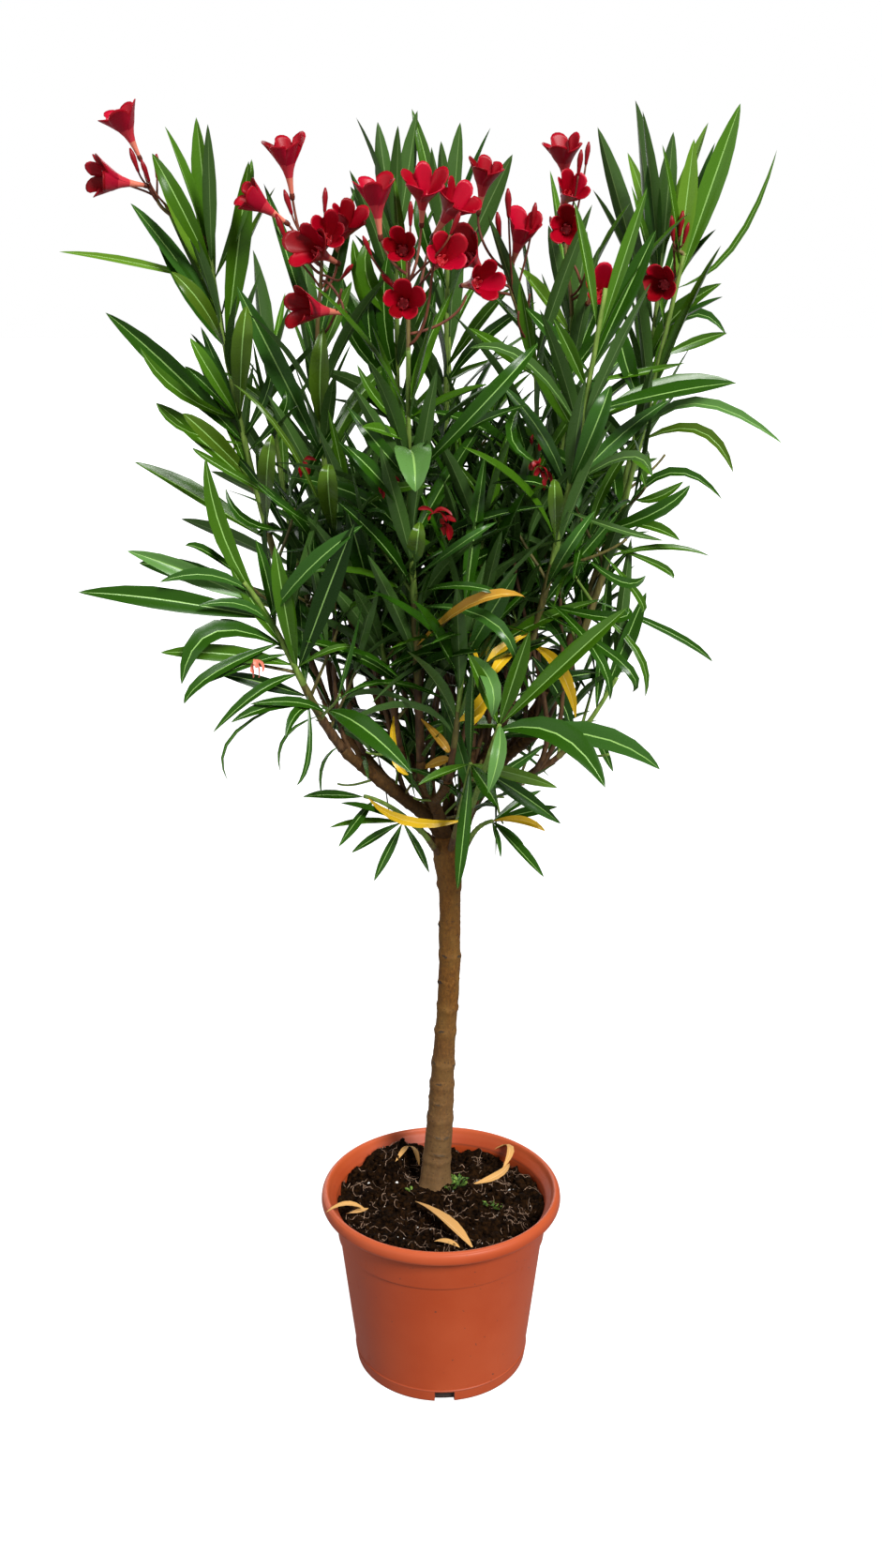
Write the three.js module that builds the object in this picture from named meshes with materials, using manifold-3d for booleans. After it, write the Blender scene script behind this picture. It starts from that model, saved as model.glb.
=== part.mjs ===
// A potted oleander grown as a standard: a plastic nursery pot, its soil, one bare trunk, a fork of
// boughs and a vase-shaped crown of leafy shoots with red blooms. Millimetres, +Z up. The origin is
// the centre of the pot's flat underside. +X is to the right and +Y to the back of the plant.
import * as THREE from 'three';
import { mergeVertices } from 'three/addons/utils/BufferGeometryUtils.js';
import Module from 'manifold-3d';

const wasm = await Module();
wasm.setup();

// Driving dimensions
const GAP = 0.3; // left between pieces that touch
const FINEST = 0.05; // edges shorter than this are closed up after a cut or a join

const POT = {
  baseRadius: 114.7,
  taper: 0.1143, // growth of the radius for each millimetre of height
  wall: 2.6,
  floor: 3,
  footHeight: 16.5,
  footProud: 1.1,
  footBevel: 2,
  footStep: 1.5, // height over which the foot band steps back to the wall
  collarHeight: 187.6,
  collarProud: 2.3,
  collarStep: 1.2,
  lipUnderside: 236,
  height: 254,
  rimRadius: 160,
  lipInnerRadius: 150,
  lipRoll: [[2.2, 0], [0.4, 2.2], [0, 7], [1.2, 13.5], [3.6, 17], [6, 18]], // in from the rim, up
  lipMouth: [[1.4, 17], [0, 14]], // out from the lip's inner radius, up from its underside
  lipRoot: { out: 1.5, up: 2, down: 3 }, // the roll's inner fillet against the wall
  sides: 44,
};
const DRAIN = { count: 4, width: 26, height: 15.5, inset: 14, turn: 2.3 };

const SOIL = {
  level: 229,
  lump: 5,
  waves: [13, 15, 19, 23], // lengths that make up the lumps
  swirl: 2,
  heap: 15,
  heapReach: 50,
  heapAt: [-66, 92],
  patch: [6, 32], // beyond the trunk's flare, where the level patch ends and the loose soil is reached
  wallGap: 0.45,
  rings: 6,
  sides: 32,
};

const TRUNK = {
  foot: [-9, 45],
  level: 232, // the soil is level here, under the flat cut
  below: 10, // how far the uncut stem runs below that level
  line: [[-2, 41, 320], [2, 37, 407], [8, 33, 492], [11, 30, 573], [11, 25, 654], [11, 22, 713]],
  head: [11, 21, 752],
  flareRadius: 23,
  flareHeight: 14,
  footRadius: 18.8,
  waistRadius: 13.6,
  waistLevel: 520,
  headRadius: 23,
  headLevel: 660, // where the stem starts to swell to its head
  headFull: 8, // below the top
  crest: 0.35, // share by which the top is drawn in
  crestHeight: 9,
  knobs: [272, 335, 386, 417, 466, 501, 576, 677], // heights of the old leaf rings
  knobRise: 1.3,
  knobHeight: 6,
  sides: 9,
  steps: 28,
};

// Each bough leaves the trunk's head, or an earlier bough at a share of its length, for its tip.
// The way is its direction at the tip, and the radii are at its foot and its tip.
const BOUGHS = [
  { name: 'bough_low_left', tip: [-116, -66, 884], way: [-0.5, -0.38, 0.78], radii: [10, 6.2] },
  { name: 'bough_right', tip: [128, 6, 936], way: [0.42, 0, 0.9], radii: [10, 6] },
  { name: 'bough_mid_left', tip: [-78, -20, 940], way: [-0.34, -0.15, 0.93], radii: [9, 5.6] },
  { name: 'bough_back_centre', tip: [6, 74, 930], way: [0, 0.12, 1], radii: [9, 5.6] },
  { name: 'bough_mid_right', tip: [56, -8, 936], way: [0.3, -0.06, 0.95], radii: [9, 5.6] },
  { name: 'bough_front', tip: [-24, -62, 868], way: [-0.02, -0.2, 0.97], radii: [8, 5.4] },
  { name: 'bough_back_right', tip: [76, 96, 916], way: [0.3, 0.35, 0.88], radii: [8.5, 5.2] },
  { name: 'bough_back_left', tip: [-76, 92, 916], way: [-0.35, 0.35, 0.87], radii: [8.5, 5.2] },
  {
    name: 'bough_left', on: 'bough_low_left', at: 0.42,
    tip: [-140, -10, 930], way: [-0.35, 0.02, 0.94], radii: [7, 5.4],
  },
  {
    name: 'bough_side_left', on: 'bough_back_left', at: 0.45,
    tip: [-128, 54, 930], way: [-0.4, 0.12, 0.9], radii: [6.5, 4.8],
  },
  {
    name: 'bough_front_right', on: 'bough_mid_right', at: 0.32,
    tip: [72, -58, 910], way: [0.3, -0.3, 0.9], radii: [7, 5.2],
  },
  {
    name: 'bough_flower_right', on: 'bough_mid_right', at: 0.58,
    tip: [92, 30, 956], way: [0.24, 0, 0.97], radii: [6, 4.6],
  },
  {
    name: 'bough_far_right', on: 'bough_right', at: 0.5,
    tip: [124, -34, 908], way: [0.4, -0.1, 0.91], radii: [7, 5.2],
  },
  {
    name: 'bough_low_right', on: 'bough_right', at: 0.3,
    tip: [116, -36, 846], way: [0.8, -0.2, 0.55], radii: [6, 4.2],
  },
  {
    name: 'bough_crown_left', on: 'bough_back_centre', at: 0.35,
    tip: [-38, 84, 930], way: [-0.1, 0.08, 1], radii: [6.5, 5],
  },
  {
    name: 'bough_back', on: 'bough_back_centre', at: 0.5,
    tip: [14, 124, 916], way: [0.02, 0.45, 0.9], radii: [6, 4.8],
  },
  {
    name: 'bough_low_back', on: 'bough_back_right', at: 0.4,
    tip: [112, 92, 860], way: [0.72, 0.42, 0.55], radii: [5.5, 4.2],
  },
  {
    name: 'bough_inner_left', on: 'bough_mid_left', at: 0.45,
    tip: [-50, -54, 884], way: [-0.1, -0.2, 0.97], radii: [5.5, 4.4],
  },
  {
    name: 'bough_inner_right', on: 'bough_mid_right', at: 0.2,
    tip: [36, -54, 880], way: [0.1, -0.2, 0.97], radii: [5.5, 4.4],
  },
  {
    name: 'bough_inner_front', on: 'bough_front', at: 0.45,
    tip: [8, -84, 850], way: [0.15, -0.35, 0.92], radii: [5, 4.2],
  },
];
const BOUGH = {
  leavesAt: 0.975,
  aside: 0.45, // from the trunk's middle, as a share of its head's radius
  upward: 0.55, // how much a bough first follows the trunk
  onward: 0.9, // how much a bough first follows an earlier bough
  sides: 6,
  steps: 5,
  taper: 0.8,
};

// The leaf rule. A whorl has three leaves, and each whorl is turned half a step from the last.
const LEAF = {
  length: 152,
  width: 21,
  widthLeast: 0.85,
  widthVary: 0.3,
  thickness: 2.8,
  rootDepth: 0.35, // how far past the stem's middle the root is sunk, as a share of the stem's radius
  stagger: 5, // between the roots of one whorl, along the stem
  widest: 0.42, // share of the length
  sharpness: 3, // how much more the point grows than the faces when a leaf is fattened
  least: 0.8,
  vary: 0.4,
  lowSpread: 74, // degrees between the stem and a leaf of the lowest whorl
  tipSpread: 19,
  leastSpread: 12,
  spreadCurve: 0.85,
  spreadVary: 16,
  topWhorl: 0.985, // share of the stem where its last whorl sits
  turnVary: 34,
  roll: 110,
  droop: 0.55,
  droopLeast: 0.3,
  nudge: 0.001, // keeps the facing defined for a leaf that lies along its stem
  arch: 0.07, // rise of a reaching leaf's middle, as a share of its length
  free: 0.3, // share of the way to its middle over which a leaf may meet its neighbours at the stem
  // changes of the spread and the turn, in degrees, until the leaf is clear and inside the crown
  tries: [[0, 0], [-18, 0], [8, 28], [-10, -28], [-34, 12]],
  reachTries: [0, -0.05, 0.05, -0.1], // changes of the share where a reaching leaf is rooted
  reachWidth: 25,
  reachFacing: [0.8, 0.6], // outward and upward
  reachRoll: 0.5, // share of the roll
  slender: 0.15, // width of a reaching leaf for its length, if that makes it narrower
};
// The crown's radius at a height, round an upright axis, and its depth for its width.
const CROWN = {
  axis: [8, 18],
  depth: 0.92,
  slack: 34, // how far a leaf may lean past the middle between two stems
  outline: [
    [720, 120], [800, 165], [870, 190], [950, 235], [1050, 275], [1200, 315], [1350, 345], [1450, 350],
    [1600, 330],
  ],
  samples: 16, // points on a stem that measure the distance to it
};
const WHORL = 3;
const WHORL_TURN = 180 / WHORL;
const SEED_STEP = 10;
const TWIG = {
  length: 70,
  vary: 50,
  radius: 2.4,
  tipRadius: 1.7,
  spread: 52,
  lift: 0.3,
  lowest: 0.02, // shares of the stem that carry twigs
  highest: 0.55,
  turnVary: 120,
  whorls: [[0.97, 38], [0.5, 58]], // share of the twig, and spread
  seed: 40,
  sides: 3,
  steps: 2,
};
const STEM = { footRadius: 4.6, tipRadius: 2.4, rise: 0.6, sides: 4, steps: 5 };
const STALK = {
  radius: 2,
  tipRadius: 1.5,
  sunk: 3, // how deep its foot goes into the stem's tip
  forks: [0.98, 0.55], // shares of its length between which the pedicels fork off
  forkRise: 12,
  sides: 4,
  steps: 3,
};
const BLOOM = {
  length: 46,
  tubeLength: 20,
  tubeRadius: 4.5,
  mouthRadius: 23,
  dish: 12,
  petals: 5,
  pedicel: 1.3,
  sunk: 4, // how deep the pedicel goes into the flower's foot
};

// Each mass of foliage goes on from its bough's tip, or starts on the trunk's head, and ends at tip.
// bare is the share of its stem below the first leaf. Reach holds the single leaves that make the
// crown's outline: the share of the stem where each is rooted, where its point is and, for a narrow
// one, its width. Blooms holds the middle of each flower's mouth and the way it faces.
const MASSES = [
  {
    name: 'foliage_tall_left', on: 'bough_left', tip: [-253, -40, 1447], way: [-0.1, -0.03, 1],
    bare: 0.12, whorls: 8, twigs: 2, turn: 10,
    reach: [
      [0.72, -410, -70, 1441, 15], [0.6, -360, -90, 1379], [0.92, -262, -30, 1578], [0.5, -316, -60, 1282],
      [0.38, -348, -40, 1215], [0.8, -203, -70, 1532], [0.9, -305, -60, 1536], [0.86, -330, -72, 1490],
      [0.8, -307, -60, 1455],
    ],
    stalk: [-306, -50, 1500],
    blooms: [[-336, -60, 1573, -0.35, -0.3, 0.9], [-353, -80, 1513, -0.8, -0.5, 0.1]],
  },
  {
    name: 'foliage_low_left', on: 'bough_low_left', tip: [-214, -158, 1100], way: [-0.55, -0.25, 0.8],
    bare: 0.1, whorls: 4, twigs: 2, turn: 25,
    reach: [
      [0.8, -386, -200, 1097], [0.9, -337, -170, 1136], [0.95, -334, -120, 1114], [0.85, -249, -170, 1233],
      [0.7, -317, -130, 1017], [0.6, -291, -180, 985], [0.5, -280, -210, 963], [0.35, -250, -130, 990],
      [0.25, -234, -170, 925], [0.5, -90, -210, 1172], [0.05, -48, -160, 899],
    ],
  },
  {
    name: 'foliage_mid_left', on: 'bough_mid_left', tip: [-134, -82, 1350], way: [0, -0.1, 1],
    bare: 0.1, whorls: 7, twigs: 2, turn: 40,
    reach: [[0.95, -189, -60, 1464], [0.7, -218, -90, 1406], [0.95, -95, -90, 1411], [0.9, -134, -60, 1440]],
    stalk: [-126, -102, 1436],
    blooms: [
      [-117, -126, 1458, 0.2, -0.85, 0.45], [-162, -90, 1539, -0.1, -0.3, 0.95],
      [-196, -100, 1493, -0.7, -0.4, 0.5], [-139, -142, 1384, -0.75, -0.6, 0.1],
    ],
  },
  {
    name: 'foliage_front', on: 'bough_front', tip: [-34, -152, 1346], way: [0.02, -0.05, 1],
    bare: 0.05, whorls: 9, twigs: 2, turn: 8,
    reach: [[0.8, -81, -220, 1271], [0.85, 48, -190, 1311], [0.62, -109, -160, 1251]],
    stalk: [-34, -158, 1420],
    blooms: [
      [-67, -150, 1498, -0.1, -0.3, 0.95], [-18, -152, 1503, 0.05, -0.6, 0.8],
      [-40, -196, 1444, -0.1, -0.95, 0.2], [4, -182, 1436, 0.3, -0.85, 0.3],
      [-38, -206, 1392, 0, -0.95, 0.1],
    ],
  },
  {
    name: 'foliage_crown_left', on: 'bough_crown_left', tip: [-52, 94, 1470], way: [0, 0, 1],
    bare: 0.15, whorls: 7, twigs: 2, turn: 50,
    reach: [
      [0.95, -73, 110, 1584], [0.97, -27, 110, 1596], [0.9, -103, 60, 1512], [0.86, -98, 40, 1460],
      [0.92, -75, 60, 1501], [0.7, -110, 40, 1380],
    ],
  },
  {
    name: 'foliage_crown_middle', on: 'bough_back_centre', tip: [8, 76, 1452], way: [0.02, -0.02, 1],
    bare: 0.15, whorls: 7, twigs: 2, turn: 15,
    reach: [[0.95, 22, 90, 1582], [0.95, 0, 60, 1560], [0.9, 80, 40, 1545]],
  },
  {
    name: 'foliage_mid_right', on: 'bough_mid_right', tip: [104, -42, 1330], way: [-0.1, -0.05, 1],
    bare: 0.1, whorls: 6, twigs: 2, turn: 35,
    reach: [[0.95, 30, -90, 1363], [0.95, 85, -80, 1411]],
    stalk: [72, -62, 1424],
    blooms: [
      [47, -60, 1520, 0.15, -0.4, 0.9], [86, -84, 1462, 0.2, -0.6, 0.75], [26, -100, 1440, -0.5, -0.7, 0.5],
    ],
  },
  {
    name: 'foliage_front_right', on: 'bough_front_right', tip: [170, -152, 1405], way: [0.15, -0.05, 1],
    bare: 0.08, whorls: 8, twigs: 2, turn: 20,
    reach: [
      [0.92, 137, -130, 1490], [0.9, 208, -160, 1502], [0.75, 310, -150, 1310], [0.8, 114, -190, 1376],
      [0.7, 88, -150, 1346], [0.85, 221, -140, 1462],
    ],
  },
  {
    name: 'foliage_flower_right', on: 'bough_flower_right', tip: [148, 6, 1374], way: [0, 0, 1],
    bare: 0.15, whorls: 6, twigs: 2, turn: 55,
    reach: [[0.95, 85, -40, 1425], [0.95, 121, 30, 1470]],
    stalk: [138, -2, 1454],
    blooms: [
      [135, 10, 1546, -0.1, -0.35, 0.9], [140, -26, 1505, 0.2, -0.8, 0.5], [136, -34, 1466, -0.1, -0.9, 0.1],
    ],
  },
  {
    name: 'foliage_right', on: 'bough_right', tip: [248, 22, 1440], way: [0.02, 0, 1],
    bare: 0.12, whorls: 7, twigs: 2, turn: 0,
    reach: [[0.93, 214, 30, 1600], [0.95, 230, 0, 1547], [0.95, 256, 20, 1567], [0.85, 175, 50, 1574]],
  },
  {
    name: 'foliage_far_right', on: 'bough_far_right', tip: [264, -50, 1440], way: [0.2, 0, 0.98],
    bare: 0.1, whorls: 8, twigs: 2, turn: 30,
    reach: [
      [0.95, 318, -40, 1591], [0.95, 269, -50, 1555], [0.9, 357, -44, 1542, 12], [0.62, 380, -80, 1240],
      [0.5, 330, -50, 1206], [0.42, 327, 10, 1169], [0.72, 326, -70, 1304], [0.8, 320, -20, 1355],
      [0.88, 314, -10, 1408], [0.3, 308, -44, 1109], [0.86, 303, -80, 1395],
    ],
    stalk: [252, -52, 1446],
    blooms: [[238, -62, 1408, -0.4, -0.85, 0.1]],
  },
  {
    name: 'foliage_low_right', on: 'bough_low_right', tip: [206, -56, 968], way: [0.45, 0, 0.85],
    bare: 0.15, whorls: 4, twigs: 1, turn: 12,
    reach: [[0.9, 320, -30, 984], [0.8, 236, -60, 1070], [0.6, 206, -50, 850], [0.75, 241, -50, 936]],
  },
  {
    name: 'foliage_front_rosette', on: 'trunk', tip: [64, -196, 950], way: [0.2, -0.5, 0.8],
    bare: 0.45, whorls: 2, twigs: 0, turn: 8, leave: [20, 7, 736],
    reach: [
      [1, 236, -230, 908], [0.97, 175, -262, 902], [1, 198, -210, 1083], [1, 28, -240, 1040],
      [1, 92, -250, 1066],
    ],
  },
  {
    name: 'foliage_centre_rosette', on: 'trunk', tip: [34, -126, 884], way: [0.1, -0.6, 0.75],
    bare: 0.5, whorls: 2, twigs: 0, turn: 48, leave: [11, 7, 728],
    reach: [
      [1, 131, -170, 869], [1, 139, -130, 812], [1, -26, -170, 872], [0.96, 26, -150, 737],
      [1, 62, -234, 868],
    ],
  },
  {
    name: 'foliage_left_tuft', on: 'trunk', tip: [-46, -64, 792], way: [-0.6, -0.5, 0.3],
    bare: 0.6, whorls: 1, twigs: 0, turn: 0, leave: [-1, 12, 722],
    reach: [
      [1, -80, -94, 727], [1, -108, -64, 752], [1, -14, -96, 738], [1, -134, -70, 786],
      [1, -118, -96, 826],
    ],
  },
  {
    name: 'foliage_left_fringe', on: 'trunk', tip: [-92, -58, 822], way: [-0.7, -0.4, 0.3],
    bare: 0.6, whorls: 1, twigs: 0, turn: 0, leave: [-4, 18, 734],
    reach: [[1, -164, -80, 828], [1, -170, -40, 868], [0.95, -150, -30, 800], [0.9, -120, -120, 780]],
  },
  {
    name: 'foliage_right_tuft', on: 'trunk', tip: [62, -62, 792], way: [0.6, -0.5, 0.3],
    bare: 0.6, whorls: 1, twigs: 0, turn: 36, leave: [23, 11, 722],
    reach: [
      [1, 121, -120, 742], [1, 70, -114, 764], [1, 100, -62, 762], [1, 122, -30, 820], [1, 136, -110, 826],
      [0.95, 119, -60, 800],
    ],
  },
  {
    name: 'foliage_inner_left', on: 'bough_inner_left', tip: [-84, -86, 1130], way: [-0.05, -0.1, 1],
    bare: 0.04, whorls: 6, twigs: 1, turn: 33,
    reach: [[0.4, -150, -140, 1030], [0.3, -30, -150, 1010], [0.7, -100, -170, 1180]],
  },
  {
    name: 'foliage_inner_right', on: 'bough_inner_right', tip: [46, -96, 1150], way: [0.05, -0.1, 1],
    bare: 0.04, whorls: 6, twigs: 1, turn: 14,
    reach: [[0.4, 120, -140, 1030], [0.3, -10, -130, 1000], [0.7, 90, -170, 1200]],
  },
  {
    name: 'foliage_inner_front', on: 'bough_inner_front', tip: [26, -148, 1080], way: [0, -0.1, 1],
    bare: 0.1, whorls: 5, twigs: 0, turn: 52,
    reach: [[0.7, 80, -210, 1120], [0.6, -30, -210, 1090]],
  },
  {
    name: 'foliage_back_left', on: 'bough_back_left', tip: [-160, 176, 1310], way: [-0.1, 0.1, 1],
    bare: 0.08, whorls: 7, twigs: 2, turn: 45,
    reach: [[0.95, -170, 200, 1456], [0.5, -290, 160, 1180], [0.4, -150, 320, 1140]],
  },
  {
    name: 'foliage_back', on: 'bough_back', tip: [10, 226, 1340], way: [0, 0.12, 1],
    bare: 0.08, whorls: 7, twigs: 2, turn: 28,
    reach: [[0.95, 18, 250, 1486], [0.55, -60, 350, 1240], [0.35, 60, 330, 1090]],
  },
  {
    name: 'foliage_back_right', on: 'bough_back_right', tip: [158, 186, 1320], way: [0.1, 0.1, 1],
    bare: 0.08, whorls: 7, twigs: 2, turn: 52,
    reach: [[0.95, 180, 208, 1466], [0.5, 280, 216, 1190], [0.3, 190, 300, 1050]],
  },
  {
    name: 'foliage_side_left', on: 'bough_side_left', tip: [-206, 84, 1300], way: [-0.1, 0.05, 1],
    bare: 0.1, whorls: 6, twigs: 2, turn: 22,
    reach: [[0.95, -220, 96, 1444], [0.4, -320, 96, 1130], [0.25, -290, 60, 1060]],
  },
  {
    name: 'foliage_low_back', on: 'bough_low_back', tip: [186, 148, 1000], way: [0.4, 0.3, 0.85],
    bare: 0.12, whorls: 4, twigs: 1, turn: 16,
    reach: [[0.9, 250, 170, 1060], [0.7, 216, 246, 930]],
  },
];

// Helpers for solids
const at = (values) => new THREE.Vector3(...values);
const radians = THREE.MathUtils.degToRad;
const blend = THREE.MathUtils.lerp;
const rise = THREE.MathUtils.smoothstep;

// A repeatable number from 0 to 1 for three whole numbers.
function chance(a, b, c) {
  const value = Math.sin(a * 12.9898 + b * 78.233 + c * 37.719) * 43758.5453;
  return value - Math.floor(value);
}

function solidOf(points, faces) {
  const vertProperties = new Float32Array(points.flatMap((point) => [point.x, point.y, point.z]));
  const triVerts = new Uint32Array(faces.flat());
  return new wasm.Manifold(new wasm.Mesh({ numProp: 3, vertProperties, triVerts }));
}

function solidFromGeometry(geometry) {
  geometry.deleteAttribute('normal');
  geometry.deleteAttribute('uv');
  const merged = mergeVertices(geometry, 1e-4);
  return new wasm.Manifold(new wasm.Mesh({
    numProp: 3,
    vertProperties: new Float32Array(merged.attributes.position.array),
    triVerts: new Uint32Array(merged.index.array),
  }));
}

// The largest body of a solid, so that scraps and sealed hollows are dropped.
function wholeOf(solid) {
  const bodies = solid.simplify(FINEST).decompose();
  return bodies.reduce((best, body) => (body.volume() > best.volume() ? body : best));
}

function meshOf(name, solid, look, origin = new THREE.Vector3()) {
  const { vertProperties, triVerts } = solid.getMesh();
  const geometry = new THREE.BufferGeometry();
  geometry.setAttribute('position', new THREE.BufferAttribute(new Float32Array(vertProperties), 3));
  geometry.setIndex(new THREE.BufferAttribute(new Uint32Array(triVerts), 1));
  geometry.translate(-origin.x, -origin.y, -origin.z);
  geometry.computeVertexNormals();
  const mesh = new THREE.Mesh(geometry, new THREE.MeshStandardMaterial({ flatShading: true, ...look }));
  mesh.name = name;
  mesh.position.copy(origin);
  return mesh;
}

// Two directions square to a way, the first as near +X as it can be.
function squareTo(way) {
  const side = new THREE.Vector3(1, 0, 0).addScaledVector(way, -way.x).normalize();
  return [side, new THREE.Vector3().crossVectors(way, side)];
}

// A closed tapering limb along a curve, round or with few sides, with flat ends.
function limb(curve, radiusAt, sides, steps, grow = 0) {
  const points = [];
  const faces = [];
  for (let step = 0; step <= steps; step += 1) {
    const share = step / steps;
    const way = curve.getTangent(share);
    const [side, up] = squareTo(way);
    const centre = curve.getPoint(share);
    if (step === 0) centre.addScaledVector(way, -grow);
    if (step === steps) centre.addScaledVector(way, grow);
    const radius = radiusAt(share) + grow;
    for (let k = 0; k < sides; k += 1) {
      const turn = (2 * Math.PI * k) / sides;
      points.push(centre.clone()
        .addScaledVector(side, radius * Math.cos(turn))
        .addScaledVector(up, radius * Math.sin(turn)));
      const next = (k + 1) % sides;
      const low = step * sides;
      if (step < steps) {
        faces.push([low + k, low + next, low + sides + next], [low + k, low + sides + next, low + sides + k]);
      }
    }
  }
  const last = steps * sides;
  for (let k = 1; k < sides - 1; k += 1) {
    faces.push([0, k + 1, k], [last, last + k, last + k + 1]);
  }
  return solidOf(points, faces);
}

// A smooth line that leaves start along one way and arrives at end along another.
function sweep(start, startWay, end, endWay) {
  const reach = start.distanceTo(end) / 3;
  return new THREE.CubicBezierCurve3(
    start,
    start.clone().addScaledVector(startWay.clone().normalize(), reach),
    end.clone().addScaledVector(endWay.clone().normalize(), -reach),
    end,
  );
}

// Pot: a turned thin wall with a foot band, a collar and a rolled lip, and drain notches at its foot
function makePot() {
  const outer = (height) => POT.baseRadius + POT.taper * height;
  const inner = (height) => outer(height) - POT.wall;
  const profile = [
    [0, 0],
    [outer(0) + POT.footProud - POT.footBevel, 0],
    [outer(0) + POT.footProud, POT.footBevel],
    [outer(POT.footHeight) + POT.footProud, POT.footHeight],
    [outer(POT.footHeight + POT.footStep), POT.footHeight + POT.footStep],
    [outer(POT.collarHeight), POT.collarHeight],
    [outer(POT.collarHeight) + POT.collarProud, POT.collarHeight + POT.collarStep],
    [outer(POT.lipUnderside) + POT.collarProud, POT.lipUnderside],
    ...POT.lipRoll.map(([inward, up]) => [POT.rimRadius - inward, POT.lipUnderside + up]),
    ...POT.lipMouth.map(([outward, up]) => [POT.lipInnerRadius + outward, POT.lipUnderside + up]),
    [inner(POT.lipUnderside) + POT.lipRoot.out, POT.lipUnderside + POT.lipRoot.up],
    [inner(POT.lipUnderside - POT.lipRoot.down), POT.lipUnderside - POT.lipRoot.down],
    [inner(POT.floor), POT.floor],
    [0, POT.floor],
  ];
  const turned = new THREE.LatheGeometry(profile.map(([r, z]) => new THREE.Vector2(r, z)), POT.sides);
  turned.rotateX(Math.PI / 2);
  let pot = solidFromGeometry(turned);
  for (let k = 0; k < DRAIN.count; k += 1) {
    const notch = new THREE.BoxGeometry(2 * DRAIN.inset, DRAIN.width, 2 * DRAIN.height);
    notch.translate(POT.baseRadius, 0, 0);
    notch.rotateZ(radians(DRAIN.turn - 90) + (2 * Math.PI * k) / DRAIN.count);
    pot = pot.subtract(solidFromGeometry(notch));
  }
  return wholeOf(pot);
}

// Soil: fills the pot, with a level patch under the trunk, low lumps and a heap at the back left
function soilHeight(x, y) {
  const fromTrunk = Math.hypot(x - TRUNK.foot[0], y - TRUNK.foot[1]);
  const fromHeap = Math.hypot(x - SOIL.heapAt[0], y - SOIL.heapAt[1]);
  const [short, middling, long, longest] = SOIL.waves;
  const ridges = Math.sin(x / short + Math.sin(y / long) * SOIL.swirl);
  const lumps = ridges * Math.cos(y / middling + Math.sin(x / longest) * SOIL.swirl);
  const heap = SOIL.heap * Math.exp(-((fromHeap / SOIL.heapReach) ** 2));
  const loose = SOIL.level + (SOIL.lump / 2) * lumps + heap;
  const [inside, beyond] = SOIL.patch;
  return blend(TRUNK.level, loose, rise(fromTrunk - TRUNK.flareRadius, inside, beyond));
}

function makeSoil() {
  const wallAt = (height) => POT.baseRadius + POT.taper * height - POT.wall - SOIL.wallGap;
  const points = [new THREE.Vector3(TRUNK.foot[0], TRUNK.foot[1], TRUNK.level)];
  const faces = [];
  const start = at([TRUNK.foot[0], TRUNK.foot[1], 0]);
  const edgeLevel = SOIL.level - SOIL.lump;
  for (let ring = 1; ring <= SOIL.rings; ring += 1) {
    for (let k = 0; k < SOIL.sides; k += 1) {
      const turn = (2 * Math.PI * k) / SOIL.sides;
      const rim = new THREE.Vector3(Math.cos(turn), Math.sin(turn), 0).multiplyScalar(wallAt(edgeLevel));
      const point = start.clone().lerp(rim, ring / SOIL.rings);
      point.z = ring === SOIL.rings ? edgeLevel : soilHeight(point.x, point.y);
      points.push(point);
    }
  }
  for (let k = 0; k < SOIL.sides; k += 1) {
    const turn = (2 * Math.PI * k) / SOIL.sides;
    const foot = POT.floor + GAP;
    points.push(new THREE.Vector3(Math.cos(turn) * wallAt(foot), Math.sin(turn) * wallAt(foot), foot));
  }
  points.push(new THREE.Vector3(0, 0, POT.floor + GAP));
  for (let k = 0; k < SOIL.sides; k += 1) {
    const next = (k + 1) % SOIL.sides;
    faces.push([0, 1 + k, 1 + next]);
    for (let ring = 0; ring < SOIL.rings; ring += 1) {
      const low = 1 + ring * SOIL.sides;
      const high = low + SOIL.sides;
      faces.push([low + k, high + k, high + next], [low + k, high + next, low + next]);
    }
    const last = 1 + SOIL.rings * SOIL.sides;
    faces.push([last + k, points.length - 1, last + next]);
  }
  return wholeOf(solidOf(points, faces));
}

// Trunk: one leaning stem with a flat cut at the soil, a flared foot, old leaf rings and a swollen head
const trunkLine = new THREE.CatmullRomCurve3([
  at([...TRUNK.foot, TRUNK.level - TRUNK.below]), ...TRUNK.line.map(at), at(TRUNK.head),
]);

function trunkRadius(share) {
  const height = trunkLine.getPoint(share).z;
  const foot = TRUNK.level;
  const top = TRUNK.head[2];
  const taper = blend(TRUNK.footRadius, TRUNK.waistRadius, rise(height, foot, TRUNK.waistLevel));
  const flare = (TRUNK.flareRadius - TRUNK.footRadius) * Math.exp(-(height - foot) / TRUNK.flareHeight);
  const swell = rise(height, TRUNK.headLevel, top - TRUNK.headFull);
  const head = (TRUNK.headRadius - TRUNK.waistRadius) * swell;
  const crest = 1 - TRUNK.crest * rise(height, top - TRUNK.crestHeight, top);
  const ringAt = (knob) => Math.exp(-(((height - knob) / TRUNK.knobHeight) ** 2));
  const knobs = TRUNK.knobs.reduce((sum, knob) => sum + ringAt(knob), 0);
  return (taper + flare + head + TRUNK.knobRise * knobs) * crest;
}

const makeTrunk = (grow = 0) => limb(trunkLine, trunkRadius, TRUNK.sides, TRUNK.steps, grow);

function cutAtSoil(solid) {
  const ground = new THREE.BoxGeometry(POT.rimRadius, POT.rimRadius, 2 * TRUNK.below);
  ground.translate(...TRUNK.foot, TRUNK.level + GAP - TRUNK.below);
  return solid.subtract(solidFromGeometry(ground));
}

// Boughs: each tapers from its fork, where it is cut clear of what it grows on
const lines = { trunk: trunkLine };

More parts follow.
